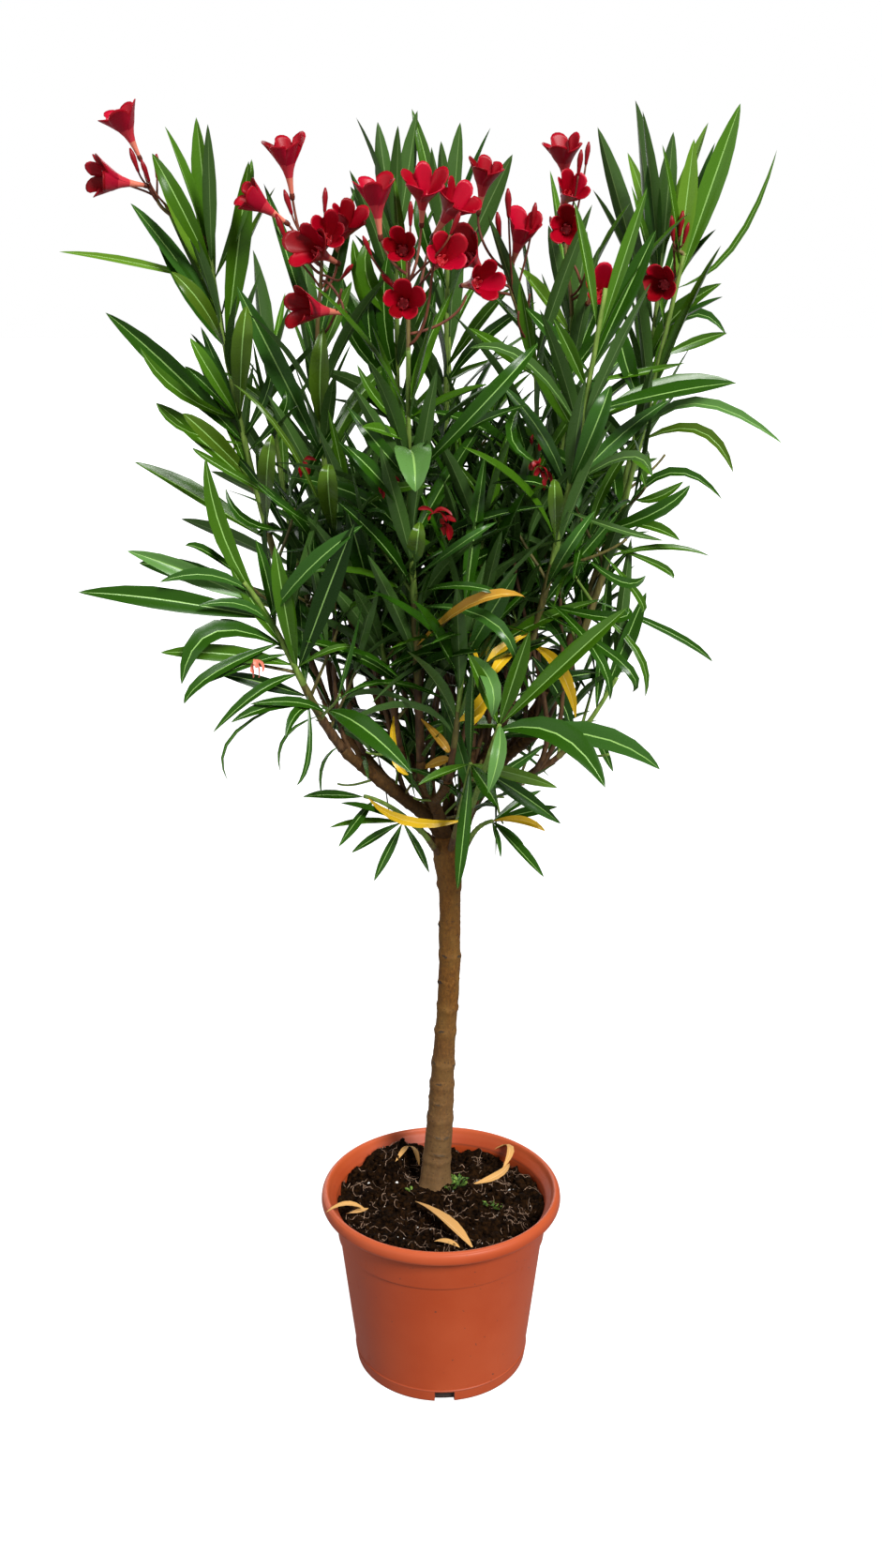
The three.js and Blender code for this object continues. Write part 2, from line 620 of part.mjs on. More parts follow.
function boughLine(bough) {
  const tip = at(bough.tip);
  const parent = lines[bough.on ?? 'trunk'];
  const start = parent.getPoint(bough.at ?? BOUGH.leavesAt);
  const out = tip.clone().sub(start);
  if (!bough.on) {
    start.addScaledVector(new THREE.Vector3(out.x, out.y, 0).normalize(), TRUNK.headRadius * BOUGH.aside);
  }
  const follow = parent.getTangent(bough.at ?? 1).multiplyScalar(bough.on ? BOUGH.onward : BOUGH.upward);
  return sweep(start, follow.add(out.normalize()), tip, at(bough.way));
}

const taperOf = ([foot, tip]) => (share) => blend(foot, tip, share ** BOUGH.taper);

function boughSolid(bough, grow = 0) {
  return limb(lines[bough.name], taperOf(bough.radii), BOUGH.sides, BOUGH.steps, grow);
}

// Foliage: stems, twigs, leaves and blooms, fused mass by mass. A pole is a limb's line with its
// number of straight stretches and its radius along them.
function alongPole({ line, steps, radiusAt }, share) {
  const step = Math.min(Math.floor(share * steps), steps - 1);
  const low = line.getPoint(step / steps);
  const high = line.getPoint((step + 1) / steps);
  const place = low.clone().lerp(high, share * steps - step);
  return { place, way: high.sub(low).normalize(), radius: radiusAt(share) };
}

function stemPole(mass) {
  const bough = BOUGHS.find(({ name }) => name === mass.on);
  const tip = at(mass.tip);
  const radiusAt = taperOf([bough ? bough.radii[1] : STEM.footRadius, STEM.tipRadius]);
  if (!bough) {
    const start = at(mass.leave);
    const out = tip.clone().sub(start).normalize();
    return { line: sweep(start, out.setZ(STEM.rise), tip, at(mass.way)), steps: STEM.steps, radiusAt };
  }
  const way = lines[mass.on].getTangent(1);
  const start = lines[mass.on].getPoint(1).addScaledVector(way, GAP);
  return { line: sweep(start, way, tip, at(mass.way)), steps: STEM.steps, radiusAt };
}

// A leaf in two straight halves, pointed at both ends, with a flat upper face and a keel below.
function leafSolid({ root, middle, tip, facing, width }, grow = 0) {
  const along = tip.clone().sub(root).normalize();
  const across = new THREE.Vector3().crossVectors(facing, along).normalize();
  const normal = new THREE.Vector3().crossVectors(along, across).normalize();
  return solidOf([
    root,
    middle.clone().addScaledVector(across, -width / 2 - 2 * grow).addScaledVector(normal, grow),
    middle.clone().addScaledVector(across, width / 2 + 2 * grow).addScaledVector(normal, grow),
    middle.clone().addScaledVector(normal, -LEAF.thickness - grow),
    tip.clone().addScaledVector(along, LEAF.sharpness * grow),
  ], [[0, 1, 2], [0, 2, 3], [0, 3, 1], [4, 2, 1], [4, 3, 2], [4, 1, 3]]);
}

// A leaf of the rule: out from the stem at a turn and a spread, and drooping past its middle.
function ruledLeaf(pole, share, turn, spread, seedA, seedB) {
  const { place, way: stemWay, radius } = alongPole(pole, share);
  const [side, up] = squareTo(stemWay);
  const out = side.multiplyScalar(Math.cos(turn)).addScaledVector(up, Math.sin(turn));
  const angle = radians(spread + LEAF.spreadVary * (chance(seedA, seedB, 1) - 0.5));
  const way = stemWay.clone().multiplyScalar(Math.cos(angle)).addScaledVector(out, Math.sin(angle));
  const length = LEAF.length * (LEAF.least + LEAF.vary * chance(seedA, seedB, 2));
  const droop = LEAF.droop * Math.sin(angle) * (LEAF.droopLeast + chance(seedA, seedB, 3));
  const root = place.addScaledVector(out, -radius * LEAF.rootDepth);
  const middle = root.clone().addScaledVector(way, length * LEAF.widest);
  const outer = way.clone().addScaledVector(new THREE.Vector3(0, 0, -1), droop).normalize();
  const tip = middle.clone().addScaledVector(outer, length * (1 - LEAF.widest));
  const facing = stemWay.addScaledVector(way, LEAF.nudge - stemWay.dot(way)).normalize();
  facing.applyAxisAngle(way, radians(LEAF.roll) * (chance(seedA, seedB, 4) - 0.5));
  const width = LEAF.width * (LEAF.widthLeast + LEAF.widthVary * chance(seedA, seedB, 5));
  return { root, middle, tip, facing, width };
}

// A single leaf from its root to a known point, arched a little above the straight line.
function reachingLeaf(pole, share, tip, width, seedA, seedB) {
  const { place, way, radius } = alongPole(pole, share);
  const out = tip.clone().sub(place);
  out.addScaledVector(way, -out.dot(way)).normalize();
  const root = place.addScaledVector(out, -radius * LEAF.rootDepth);
  const along = tip.clone().sub(root);
  const length = along.length();
  const middle = root.clone().addScaledVector(along, LEAF.widest);
  middle.z += length * LEAF.arch;
  const towards = tip.y < CROWN.axis[1] ? -1 : 1;
  const [outward, upward] = LEAF.reachFacing;
  const facing = new THREE.Vector3(0, outward * towards, upward);
  const roll = radians(LEAF.roll) * LEAF.reachRoll * (chance(seedA, seedB, 6) - 0.5);
  facing.applyAxisAngle(along.normalize(), roll);
  return { root, middle, tip, facing, width: width ?? Math.min(LEAF.reachWidth, length * LEAF.slender) };
}

// A closed five-petalled funnel, from its foot to a wide mouth with a sunk throat.
function bloomSolid(mouth, facing, grow = 0) {
  const foot = mouth.clone().addScaledVector(facing, -BLOOM.length - grow);
  const [side, up] = squareTo(facing);
  const points = [foot];
  const ring = (along, radius) => {
    for (let k = 0; k < BLOOM.petals; k += 1) {
      const turn = (2 * Math.PI * k) / BLOOM.petals;
      points.push(foot.clone().addScaledVector(facing, along)
        .addScaledVector(side, radius * Math.cos(turn)).addScaledVector(up, radius * Math.sin(turn)));
    }
  };
  ring(BLOOM.tubeLength, BLOOM.tubeRadius + grow);
  ring(BLOOM.length + grow, BLOOM.mouthRadius + grow);
  const throat = points.length;
  points.push(mouth.clone().addScaledVector(facing, -BLOOM.dish));
  const faces = [];
  for (let k = 0; k < BLOOM.petals; k += 1) {
    const next = (k + 1) % BLOOM.petals;
    const low = 1 + k;
    const lowNext = 1 + next;
    const high = low + BLOOM.petals;
    const highNext = lowNext + BLOOM.petals;
    faces.push([0, lowNext, low], [low, lowNext, highNext], [low, highNext, high]);
    faces.push([high, highNext, throat]);
  }
  return solidOf(points, faces);
}

// Assembly
const plant = new THREE.Group();
plant.name = 'potted_oleander';

plant.add(meshOf('pot', makePot(), { color: 0xb9542f, roughness: 0.48, metalness: 0 }));
plant.add(meshOf('soil', makeSoil(), { color: 0x2a1d15, roughness: 0.95, metalness: 0 }));

const barkLook = { color: 0x6d5138, roughness: 0.82, metalness: 0 };
const leafLook = { color: 0x2f5a24, roughness: 0.5, metalness: 0 };
const trunk = wholeOf(cutAtSoil(makeTrunk()));
plant.add(meshOf('trunk', trunk, barkLook, at([...TRUNK.foot, TRUNK.level])));

const fattened = [makeTrunk(GAP)];
const clearOfLimbs = (solid) => wholeOf(fattened.reduce((rest, fat) => rest.subtract(fat), solid));
const limbGroup = new THREE.Group();
plant.add(limbGroup);
for (const bough of BOUGHS) {
  lines[bough.name] = boughLine(bough);
  const solid = clearOfLimbs(boughSolid(bough));
  fattened.push(boughSolid(bough, GAP));
  limbGroup.add(meshOf(bough.name, solid, barkLook, lines[bough.name].getPoint(0)));
}

const grown = MASSES.map((mass, index) => ({ mass, index, pole: stemPole(mass), parts: [] }));

function boxOf(solid) {
  const { min, max } = solid.boundingBox();
  return new THREE.Box3(at(min), at(max));
}

const fatLimbs = fattened.map((solid) => ({ solid, box: boxOf(solid) }));

const touch = (fat, box, part) => box.intersectsBox(part.box) && !fat.intersect(part.solid).isEmpty();

// Whether a fattened part meets a limb or anything of another mass.
function meets(fat, own) {
  const box = boxOf(fat);
  return fatLimbs.some((part) => touch(fat, box, part))
    || grown.some((other) => other !== own && other.parts.some((part) => touch(fat, box, part)));
}

// Whether the open part of a leaf crosses another leaf, twig or bloom of its own mass.
function crossesOwn(leaf, own, carrier) {
  const open = leafSolid({ ...leaf, root: leaf.root.clone().lerp(leaf.middle, LEAF.free) }, GAP);
  const box = boxOf(open);
  return own.parts.some((part) => part !== carrier && touch(open, box, part));
}

// Whether a point lies in a mass's own space, the part of the crown that is nearest its stem.
const stemPoints = grown.map(({ pole }) => pole.line.getPoints(CROWN.samples));
const fromStem = (point, index) => Math.min(...stemPoints[index].map((other) => other.distanceTo(point)));

function inOwnSpace(point, own) {
  const near = fromStem(point, own.index) - CROWN.slack;
  return grown.every((other) => other === own || fromStem(point, other.index) > near);
}

// Whether a point lies inside the crown's outline.
function inCrown(point) {
  const after = CROWN.outline.findIndex(([height]) => height > point.z);
  if (after < 1) return false;
  const [[low, lowRadius], [high, highRadius]] = CROWN.outline.slice(after - 1, after + 1);
  const radius = blend(lowRadius, highRadius, (point.z - low) / (high - low));
  return Math.hypot(point.x - CROWN.axis[0], (point.y - CROWN.axis[1]) / CROWN.depth) < radius;
}

const keep = (own, solid) => own.parts.push({ solid, box: boxOf(solid) });

function keepIfClear(own, make) {
  if (meets(make(GAP), own)) return false;
  keep(own, make(0));
  return true;
}

// Stems come first, then flower stalks and blooms, then the reaching leaves, then whorls and twigs.
for (const own of grown) {
  const { line, steps, radiusAt } = own.pole;
  const stem = limb(line, radiusAt, STEM.sides, steps);
  keep(own, own.mass.leave ? clearOfLimbs(stem) : wholeOf(stem));
}

for (const own of grown.filter(({ mass }) => mass.stalk)) {
  const end = alongPole(own.pole, 1);
  const foot = end.place.addScaledVector(end.way, -STALK.sunk);
  const line = sweep(foot, end.way, at(own.mass.stalk), at([0, 0, 1]));
  const stalk = { line, steps: STALK.steps, radiusAt: taperOf([STALK.radius, STALK.tipRadius]) };
  keep(own, limb(stalk.line, stalk.radiusAt, STALK.sides, STALK.steps));
  own.mass.blooms.forEach(([x, y, z, ...face], k) => {
    const facing = at(face).normalize();
    const mouth = at([x, y, z]);
    const base = mouth.clone().addScaledVector(facing, BLOOM.sunk - BLOOM.length);
    const from = alongPole(stalk, blend(...STALK.forks, k / BLOOM.petals)).place;
    const pedicel = sweep(from, base.clone().sub(from).setZ(STALK.forkRise), base, facing);
    const made = [
      (grow) => bloomSolid(mouth, facing, grow),
      (grow) => limb(pedicel, () => BLOOM.pedicel, TWIG.sides, TWIG.steps, grow),
    ];
    if (made.every((make) => !meets(make(GAP), own))) made.forEach((make) => keep(own, make(0)));
  });
}

for (const own of grown) {
  own.mass.reach.forEach(([share, x, y, z, width], k) => {
    for (const aside of LEAF.reachTries) {
      const leaf = reachingLeaf(own.pole, Math.min(share + aside, 1), at([x, y, z]), width, own.index, k);
      if (!crossesOwn(leaf, own, own.parts[0]) && keepIfClear(own, (grow) => leafSolid(leaf, grow))) return;
    }
  });
}

function growWhorl(own, carrier, pole, share, turn, spread, seedA, seedB) {
  for (let j = 0; j < WHORL; j += 1) {
    const vary = radians(LEAF.turnVary) * (chance(seedA, seedB + j, 7) - 0.5);
    const around = turn + (2 * Math.PI * j) / WHORL + vary;
    const lower = share - (j * LEAF.stagger) / pole.line.getLength();
    for (const [wider, aside] of LEAF.tries) {
      const angle = Math.max(spread + wider, LEAF.leastSpread);
      const leaf = ruledLeaf(pole, lower, around + radians(aside), angle, seedA, seedB + j);
      const inside = inCrown(leaf.tip) && inOwnSpace(leaf.middle, own);
      const clear = inside && !crossesOwn(leaf, own, carrier);
      if (clear && keepIfClear(own, (grow) => leafSolid(leaf, grow))) break;
    }
  }
}

function twigPole(pole, share, turn, length) {
  const { place, way } = alongPole(pole, share);
  const [side, up] = squareTo(way);
  const aside = side.multiplyScalar(Math.cos(turn)).addScaledVector(up, Math.sin(turn));
  const spread = radians(TWIG.spread);
  const out = way.clone().multiplyScalar(Math.cos(spread)).addScaledVector(aside, Math.sin(spread));
  const tip = place.clone().addScaledVector(out, length);
  const line = sweep(place, out, tip, out.clone().add(new THREE.Vector3(0, 0, TWIG.lift)));
  return { line, steps: TWIG.steps, radiusAt: taperOf([TWIG.radius, TWIG.tipRadius]) };
}

// The turn about a stem that points back to the crown's middle.
function inwardTurn(pole, share) {
  const { place, way } = alongPole(pole, share);
  const [side, up] = squareTo(way);
  const inward = at([CROWN.axis[0], CROWN.axis[1], place.z]).sub(place);
  return Math.atan2(inward.dot(up), inward.dot(side));
}

for (const own of grown) {
  const { mass, index, pole } = own;
  const [stem] = own.parts;
  for (let k = mass.whorls - 1; k >= 0; k -= 1) {
    const share = blend(mass.bare, LEAF.topWhorl, mass.whorls > 1 ? k / (mass.whorls - 1) : 1);
    const spread = blend(LEAF.lowSpread, LEAF.tipSpread, share ** LEAF.spreadCurve);
    const turn = radians(mass.turn + WHORL_TURN * k);
    growWhorl(own, stem, pole, share, turn, spread, index, SEED_STEP * k);
  }
  for (let k = 0; k < mass.twigs; k += 1) {
    const share = blend(TWIG.lowest, TWIG.highest, (k + chance(index, k, 8)) / mass.twigs);
    const turn = inwardTurn(pole, share) + radians(TWIG.turnVary) * (chance(index, k, 9) - 0.5);
    const twig = twigPole(pole, share, turn, TWIG.length + TWIG.vary * chance(index, k, 10));
    const makeTwig = (grow) => limb(twig.line, twig.radiusAt, TWIG.sides, TWIG.steps, grow);
    if (keepIfClear(own, makeTwig)) {
      const carrier = own.parts.at(-1);
      TWIG.whorls.forEach(([height, spread], level) => {
        const around = turn + radians(WHORL_TURN) * level;
        const seed = SEED_STEP * k + (SEED_STEP / 2) * level;
        growWhorl(own, carrier, twig, height, around, spread, index + TWIG.seed, seed);
      });
    }
  }
}

const crown = new THREE.Group();
plant.add(crown);
for (const { mass, pole, parts } of grown) {
  const fused = parts.map((part) => part.solid).reduce((sum, solid) => sum.add(solid));
  crown.add(meshOf(mass.name, wholeOf(fused), leafLook, pole.line.getPoint(0)));
}

export default plant;
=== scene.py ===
import bpy
import numpy as np
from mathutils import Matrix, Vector


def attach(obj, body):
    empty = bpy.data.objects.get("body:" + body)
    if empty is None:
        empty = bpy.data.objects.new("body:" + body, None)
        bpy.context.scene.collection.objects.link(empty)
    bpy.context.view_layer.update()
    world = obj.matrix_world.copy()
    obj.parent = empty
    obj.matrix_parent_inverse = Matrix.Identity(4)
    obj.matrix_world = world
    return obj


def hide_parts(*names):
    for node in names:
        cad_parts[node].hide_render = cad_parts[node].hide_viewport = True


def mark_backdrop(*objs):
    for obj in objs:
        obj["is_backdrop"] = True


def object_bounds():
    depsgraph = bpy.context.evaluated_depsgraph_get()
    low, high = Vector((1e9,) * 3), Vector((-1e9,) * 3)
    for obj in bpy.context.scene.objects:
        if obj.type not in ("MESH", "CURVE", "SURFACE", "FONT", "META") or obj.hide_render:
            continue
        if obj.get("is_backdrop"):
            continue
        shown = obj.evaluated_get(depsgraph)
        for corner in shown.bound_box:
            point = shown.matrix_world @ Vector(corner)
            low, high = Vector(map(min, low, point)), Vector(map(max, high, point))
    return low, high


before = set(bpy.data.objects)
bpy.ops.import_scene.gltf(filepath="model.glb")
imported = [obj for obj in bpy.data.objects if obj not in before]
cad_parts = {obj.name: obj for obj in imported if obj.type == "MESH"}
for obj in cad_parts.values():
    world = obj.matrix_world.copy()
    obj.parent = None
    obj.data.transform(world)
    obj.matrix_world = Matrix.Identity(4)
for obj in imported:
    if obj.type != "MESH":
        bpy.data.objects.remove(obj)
cad_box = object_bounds()


# Pot
# A round nursery pot of terracotta-coloured plastic, moulded in one piece about 2.6 mm thick. The lip is
# rolled over, a collar stands proud below it, and four notches at the foot let the water out.
MM = 0.001
POT_BASE_RADIUS = 114.7 * MM
POT_TAPER = 0.1143
POT_WALL = 2.6 * MM
POT_FLOOR = 18 * MM
POT_SIDES = 240
FOOT_HEIGHT = 16.5 * MM
FOOT_PROUD = 1.1 * MM
COLLAR_HEIGHT = 187.6 * MM
COLLAR_PROUD = 2.3 * MM
LIP_UNDERSIDE = 236 * MM
POT_HEIGHT = 254 * MM
RIM_RADIUS = 160 * MM
LIP_INNER_RADIUS = 150 * MM
EDGE_RADII = np.array([0.5, 0.5, 3, 3, 0.6, 0.4, 1.2, 1.6, 3, 4, 4, 3, 3, 2, 2, 2]) * MM
NOTCH_COUNT = 4
NOTCH_WIDTH = 26 * MM
NOTCH_HEIGHT = 15.5 * MM
NOTCH_BACK = 108.4 * MM
NOTCH_TURN = np.radians(2.3 - 90)
TERRACOTTA = (0.275, 0.035, 0.005)
TERRACOTTA_FADED = (0.335, 0.06, 0.017)
# A painted highlight for the lip's top.
TERRACOTTA_PAINTED_HIGHLIGHT = (0.48, 0.09, 0.026)
# Painted shade for the underside of the wall's steps.
PAINTED_STEP_SHADE = (0.09, 0.02, 0.008)
SPECK = (0.06, 0.025, 0.015)


class Wire:
    """A shader socket that can stand in a sum: each operator adds the Math node that works it out."""

    def __init__(self, board, socket):
        self.board = board
        self.socket = socket

    def sum(self, operation, other):
        return self.board.node("ShaderNodeMath", {"operation": operation}, {0: self, 1: other})

    def __add__(self, other):
        return self.sum("ADD", other)

    def __sub__(self, other):
        return self.sum("SUBTRACT", other)

    def __mul__(self, other):
        return self.sum("MULTIPLY", other)

    __radd__ = __add__


class Board:
    """The node tree of a material or a world, with one method that adds any node to it."""

    def __init__(self, owner):
        owner.use_nodes = True
        self.tree = owner.node_tree

    def node(self, kind, settings, inputs, output=0):
        """Adds a node, gives it its settings, then its values and links, and returns one output."""
        added = self.tree.nodes.new(kind)
        for name, value in settings.items():
            setattr(added, name, value)
        for key, value in inputs.items():
            if isinstance(value, Wire):
                self.tree.links.new(value.socket, added.inputs[key])
            else:
                added.inputs[key].default_value = value
        return Wire(self, added.outputs[output])


class Look(Board):
    """A material that is built up by calls: patterns on Object coordinates, then one Principled shader."""

    def __init__(self, name):
        self.material = bpy.data.materials.new(name)
        super().__init__(self.material)
        self.shader = self.tree.nodes["Principled BSDF"]
        self.place = self.node("ShaderNodeTexCoord", {}, {}, "Object")

    def noise(self, scale, detail=3.0, roughness=0.55, stretch=None):
        """Noise from 0 to 1, with scale features to a metre, on places stretched along each axis."""
        at = self.place
        if stretch:
            at = self.node("ShaderNodeMapping", {}, {"Vector": self.place, "Scale": stretch})
        inputs = {"Vector": at, "Scale": scale, "Detail": detail, "Roughness": roughness}
        return self.node("ShaderNodeTexNoise", {}, inputs, "Fac")

    def height(self):
        """The height above the pot's underside, in metres."""
        return self.node("ShaderNodeSeparateXYZ", {}, {"Vector": self.place}, "Z")

    def band(self, value, low, high):
        """0 where value is below low, 1 above high, and an even slope between."""
        inputs = {"Value": value, "From Min": low, "From Max": high}
        return self.node("ShaderNodeMapRange", {"clamp": True}, inputs)

    def mix(self, first, second, factor):
        """A colour between two colours. A colour is three numbers or a wire."""
        ends = [end if isinstance(end, Wire) else (*end, 1.0) for end in (first, second)]
        return self.node("ShaderNodeMix", {"data_type": "RGBA"}, {0: factor, 6: ends[0], 7: ends[1]}, 2)

    def bump(self, height, distance, strength=0.5):
        """The surface normal, tilted by a height in shares of a distance in metres."""
        inputs = {"Strength": strength, "Distance": distance, "Height": height}
        return self.node("ShaderNodeBump", {}, inputs)

    def done(self, colour, roughness, normal=None, **fixed):
        """Feeds the shader and returns the material. Fixed values are set on the shader's own sockets."""
        wanted = {"Base_Color": colour, "Roughness": roughness, "Normal": normal, **fixed}
        for name, value in wanted.items():
            socket = self.shader.inputs[name.replace("_", " ")]
            if isinstance(value, Wire):
                self.tree.links.new(value.socket, socket)
            elif value is not None:
                socket.default_value = (*value, 1.0) if isinstance(value, tuple) else value
        return self.material


def turns(count):
    """Even turns round a circle."""
    return np.arange(count) * 2 * np.pi / count


def shell_faces(rows, columns):
    """Faces of a closed skin: quads between rows of points, and a fan to a pole at each end.
    The points are the rows in turn, then the first pole, then the last."""
    low, column = np.meshgrid(np.arange(rows - 1) * columns, np.arange(columns), indexing="ij")
    after = (column + 1) % columns
    quads = np.stack([low + column, low + after, low + columns + after, low + columns + column], -1)
    pole = np.full(columns, rows * columns)
    top = (rows - 1) * columns
    first_fan = np.stack([pole, after[0], column[0]], -1)
    last_fan = np.stack([top + column[0], top + after[0], pole + 1], -1)
    return quads.reshape(-1, 4), np.concatenate([first_fan, last_fan])


def add_piece(name, points, faces, looks, nodes=(), face_looks=None):
    """Puts whole arrays of points and faces into a smooth mesh that rides on the plant's one body."""
    mesh = bpy.data.meshes.new(name)
    corners = np.reshape(points, (-1, 3)).tolist()
    mesh.from_pydata(corners, [], [face for part in faces for face in part.tolist()])
    for look in looks:
        mesh.materials.append(look)
    if face_looks is not None:
        mesh.polygons.foreach_set("material_index", np.asarray(face_looks, dtype=np.int32))
    mesh.shade_smooth()
    piece = bpy.data.objects.new(name, mesh)
    bpy.context.scene.collection.objects.link(piece)
    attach(piece, "root")
    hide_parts(*nodes)
    return piece


def rounded(corners, radius, count):
    """Rounds each inner corner of a profile: it becomes a quadratic curve that starts and ends its
    radius from the corner, or halfway along a side that is shorter than two radii."""
    corners = np.array(corners)
    middle = corners[1:-1]
    sides = [corners[:-2] - middle, corners[2:] - middle]
    back, ahead = (
        side * np.minimum(radius / np.linalg.norm(side, axis=1), 0.5)[:, None] for side in sides
    )
    share = np.linspace(0, 1, count)[None, :, None]
    curve = middle[:, None] + back[:, None] * (1 - share) ** 2 + ahead[:, None] * share**2
    return np.concatenate([corners[:1], curve.reshape(-1, 2), corners[-1:]])


def pot_outer(height):
    return POT_BASE_RADIUS + POT_TAPER * height


def pot_inner(height):
    return pot_outer(height) - POT_WALL


foot_outer = pot_outer(NOTCH_HEIGHT) + FOOT_PROUD
below_notch = np.array([[20 * MM, 0], [60 * MM, 0], [NOTCH_BACK, 0]])
in_notch = np.concatenate([
    np.linspace([NOTCH_BACK + MM, 0], [pot_outer(0) - MM, 0], 6),
    np.linspace([pot_outer(0) + 0.6 * MM, 0.5 * MM], [foot_outer, NOTCH_HEIGHT], 8),
])
above_notch = rounded([
    [foot_outer, NOTCH_HEIGHT + 0.1 * MM],
    [pot_outer(FOOT_HEIGHT) + FOOT_PROUD, FOOT_HEIGHT],
    [pot_outer(FOOT_HEIGHT), FOOT_HEIGHT + 1.5 * MM],
    [pot_outer(60 * MM), 60 * MM],
    [pot_outer(120 * MM), 120 * MM],
    [pot_outer(COLLAR_HEIGHT), COLLAR_HEIGHT],
    [pot_outer(COLLAR_HEIGHT) + COLLAR_PROUD, COLLAR_HEIGHT + 1.2 * MM],
    [pot_outer(LIP_UNDERSIDE) + COLLAR_PROUD, LIP_UNDERSIDE],
    [RIM_RADIUS - 2.2 * MM, LIP_UNDERSIDE],
    [RIM_RADIUS, LIP_UNDERSIDE + 4 * MM],
    [RIM_RADIUS - MM, POT_HEIGHT - 5 * MM],
    [RIM_RADIUS - 5 * MM, POT_HEIGHT],
    [LIP_INNER_RADIUS + MM, POT_HEIGHT - 0.6 * MM],
    [LIP_INNER_RADIUS - 2 * MM, POT_HEIGHT - 8 * MM],
    [pot_inner(LIP_UNDERSIDE) + 1.5 * MM, LIP_UNDERSIDE + 2 * MM],
    [pot_inner(LIP_UNDERSIDE - 3 * MM), LIP_UNDERSIDE - 3 * MM],
    [pot_inner(POT_FLOOR), POT_FLOOR],
    [20 * MM, POT_FLOOR],
], EDGE_RADII, 7)
profile = np.concatenate([below_notch, in_notch, above_notch])
notch_rows = slice(len(below_notch), len(below_notch) + len(in_notch))
notch_route = np.array([[NOTCH_BACK, 0], [NOTCH_BACK, NOTCH_HEIGHT], [foot_outer, NOTCH_HEIGHT]])
route_share = np.linspace(0.1, 2, len(in_notch))

notch_middles = NOTCH_TURN + turns(NOTCH_COUNT)
notch_half = NOTCH_WIDTH / 2 / POT_BASE_RADIUS
notch_edges = (notch_middles[:, None] + notch_half * np.array([-1.001, -0.999, 0.999, 1.001])).ravel()
pot_turns = np.sort(np.concatenate([turns(POT_SIDES), notch_edges % (2 * np.pi)]))
from_notch = (pot_turns[:, None] - notch_middles + np.pi) % (2 * np.pi) - np.pi
is_notch = np.abs(from_notch).min(axis=1) < notch_half
pot_grid = np.repeat(profile[:, None], len(pot_turns), axis=1)
for part in range(2):
    cut = np.interp(route_share, [0, 1, 2], notch_route[:, part])
    pot_grid[notch_rows, is_notch, part] = cut[:, None]
pot_radius, pot_level = pot_grid[..., 0], pot_grid[..., 1]
pot_points = np.stack([pot_radius * np.cos(pot_turns), pot_radius * np.sin(pot_turns), pot_level], -1)
pot_quads, pot_fans = shell_faces(*pot_radius.shape)
pot_points = np.concatenate([pot_points.reshape(-1, 3), [[0, 0, 0], [0, 0, POT_FLOOR]]])
quad_row, quad_column = np.divmod(np.arange(len(pot_quads)), len(pot_turns))
in_back = (quad_row >= notch_rows.start - 1) & (quad_row < notch_rows.stop - 5) & is_notch[quad_column]
pot_looks = np.concatenate([in_back, np.zeros(len(pot_fans))])


def plastic_look(name):
    """Satin moulded plastic: cloudy fading, fine orange-peel, a few faint scuffs and specks, painted shade
    under the steps of the wall, and a painted highlight on the lip's top."""
    look = Look(name)
    cloud = look.band(look.noise(7, 4), 0.38, 0.66)
    scuff = look.band(look.noise(90, 5, 0.7, (1, 1, 0.25)), 0.6, 0.72)
    speck = look.band(look.noise(150, 1), 0.755, 0.79)
    tint = look.mix(TERRACOTTA, TERRACOTTA_FADED, cloud * 0.55 + scuff * 0.12)
    tint = look.mix(tint, SPECK, speck * 0.8)
    height = look.height()
    # Painted shade: a dark line just below the foot's step, the collar and the lip's underside, where shade
    # falls.
    for level, reach in ((FOOT_HEIGHT, 1.6 * MM), (COLLAR_HEIGHT, 2.2 * MM), (LIP_UNDERSIDE, 3 * MM)):
        line = look.band(height, level - reach, level) * look.band(height, level + MM, level)
        tint = look.mix(tint, PAINTED_STEP_SHADE, line * 0.55)
    # Painted highlight: the lip's top is made lighter, as where the light falls on it.
    lip_highlight = look.band(height, LIP_UNDERSIDE + 6 * MM, POT_HEIGHT)
    tint = look.mix(tint, TERRACOTTA_PAINTED_HIGHLIGHT, lip_highlight * 0.6)
    relief = look.noise(900, 2) * 0.25 + look.noise(45, 2) * 0.6 + scuff * 0.2
    normal = look.bump(relief, 0.5 * MM, 0.35)
    return look.done(tint, 0.48 + cloud * 0.1 + scuff * 0.15, normal, Specular_IOR_Level=0.3)


def grainy_look(name, dark, light, scale, roughness, depth, low=0.0, high=1.0):
    """A dull look of two tones: noise from low to high deals them out and lifts the surface."""
    look = Look(name)
    grain = look.noise(scale)
    return look.done(look.mix(dark, light, look.band(grain, low, high)), roughness, look.bump(grain, depth))


notch_shadow = grainy_look("notch_shadow", (0.006, 0.004, 0.003), (0.03, 0.015, 0.01), 120, 0.9, MM)
terracotta = plastic_look("terracotta_plastic")
pot_faces = [pot_quads, pot_fans]
add_piece("pot_shell", pot_points, pot_faces, [terracotta, notch_shadow], ["pot"], pot_looks)


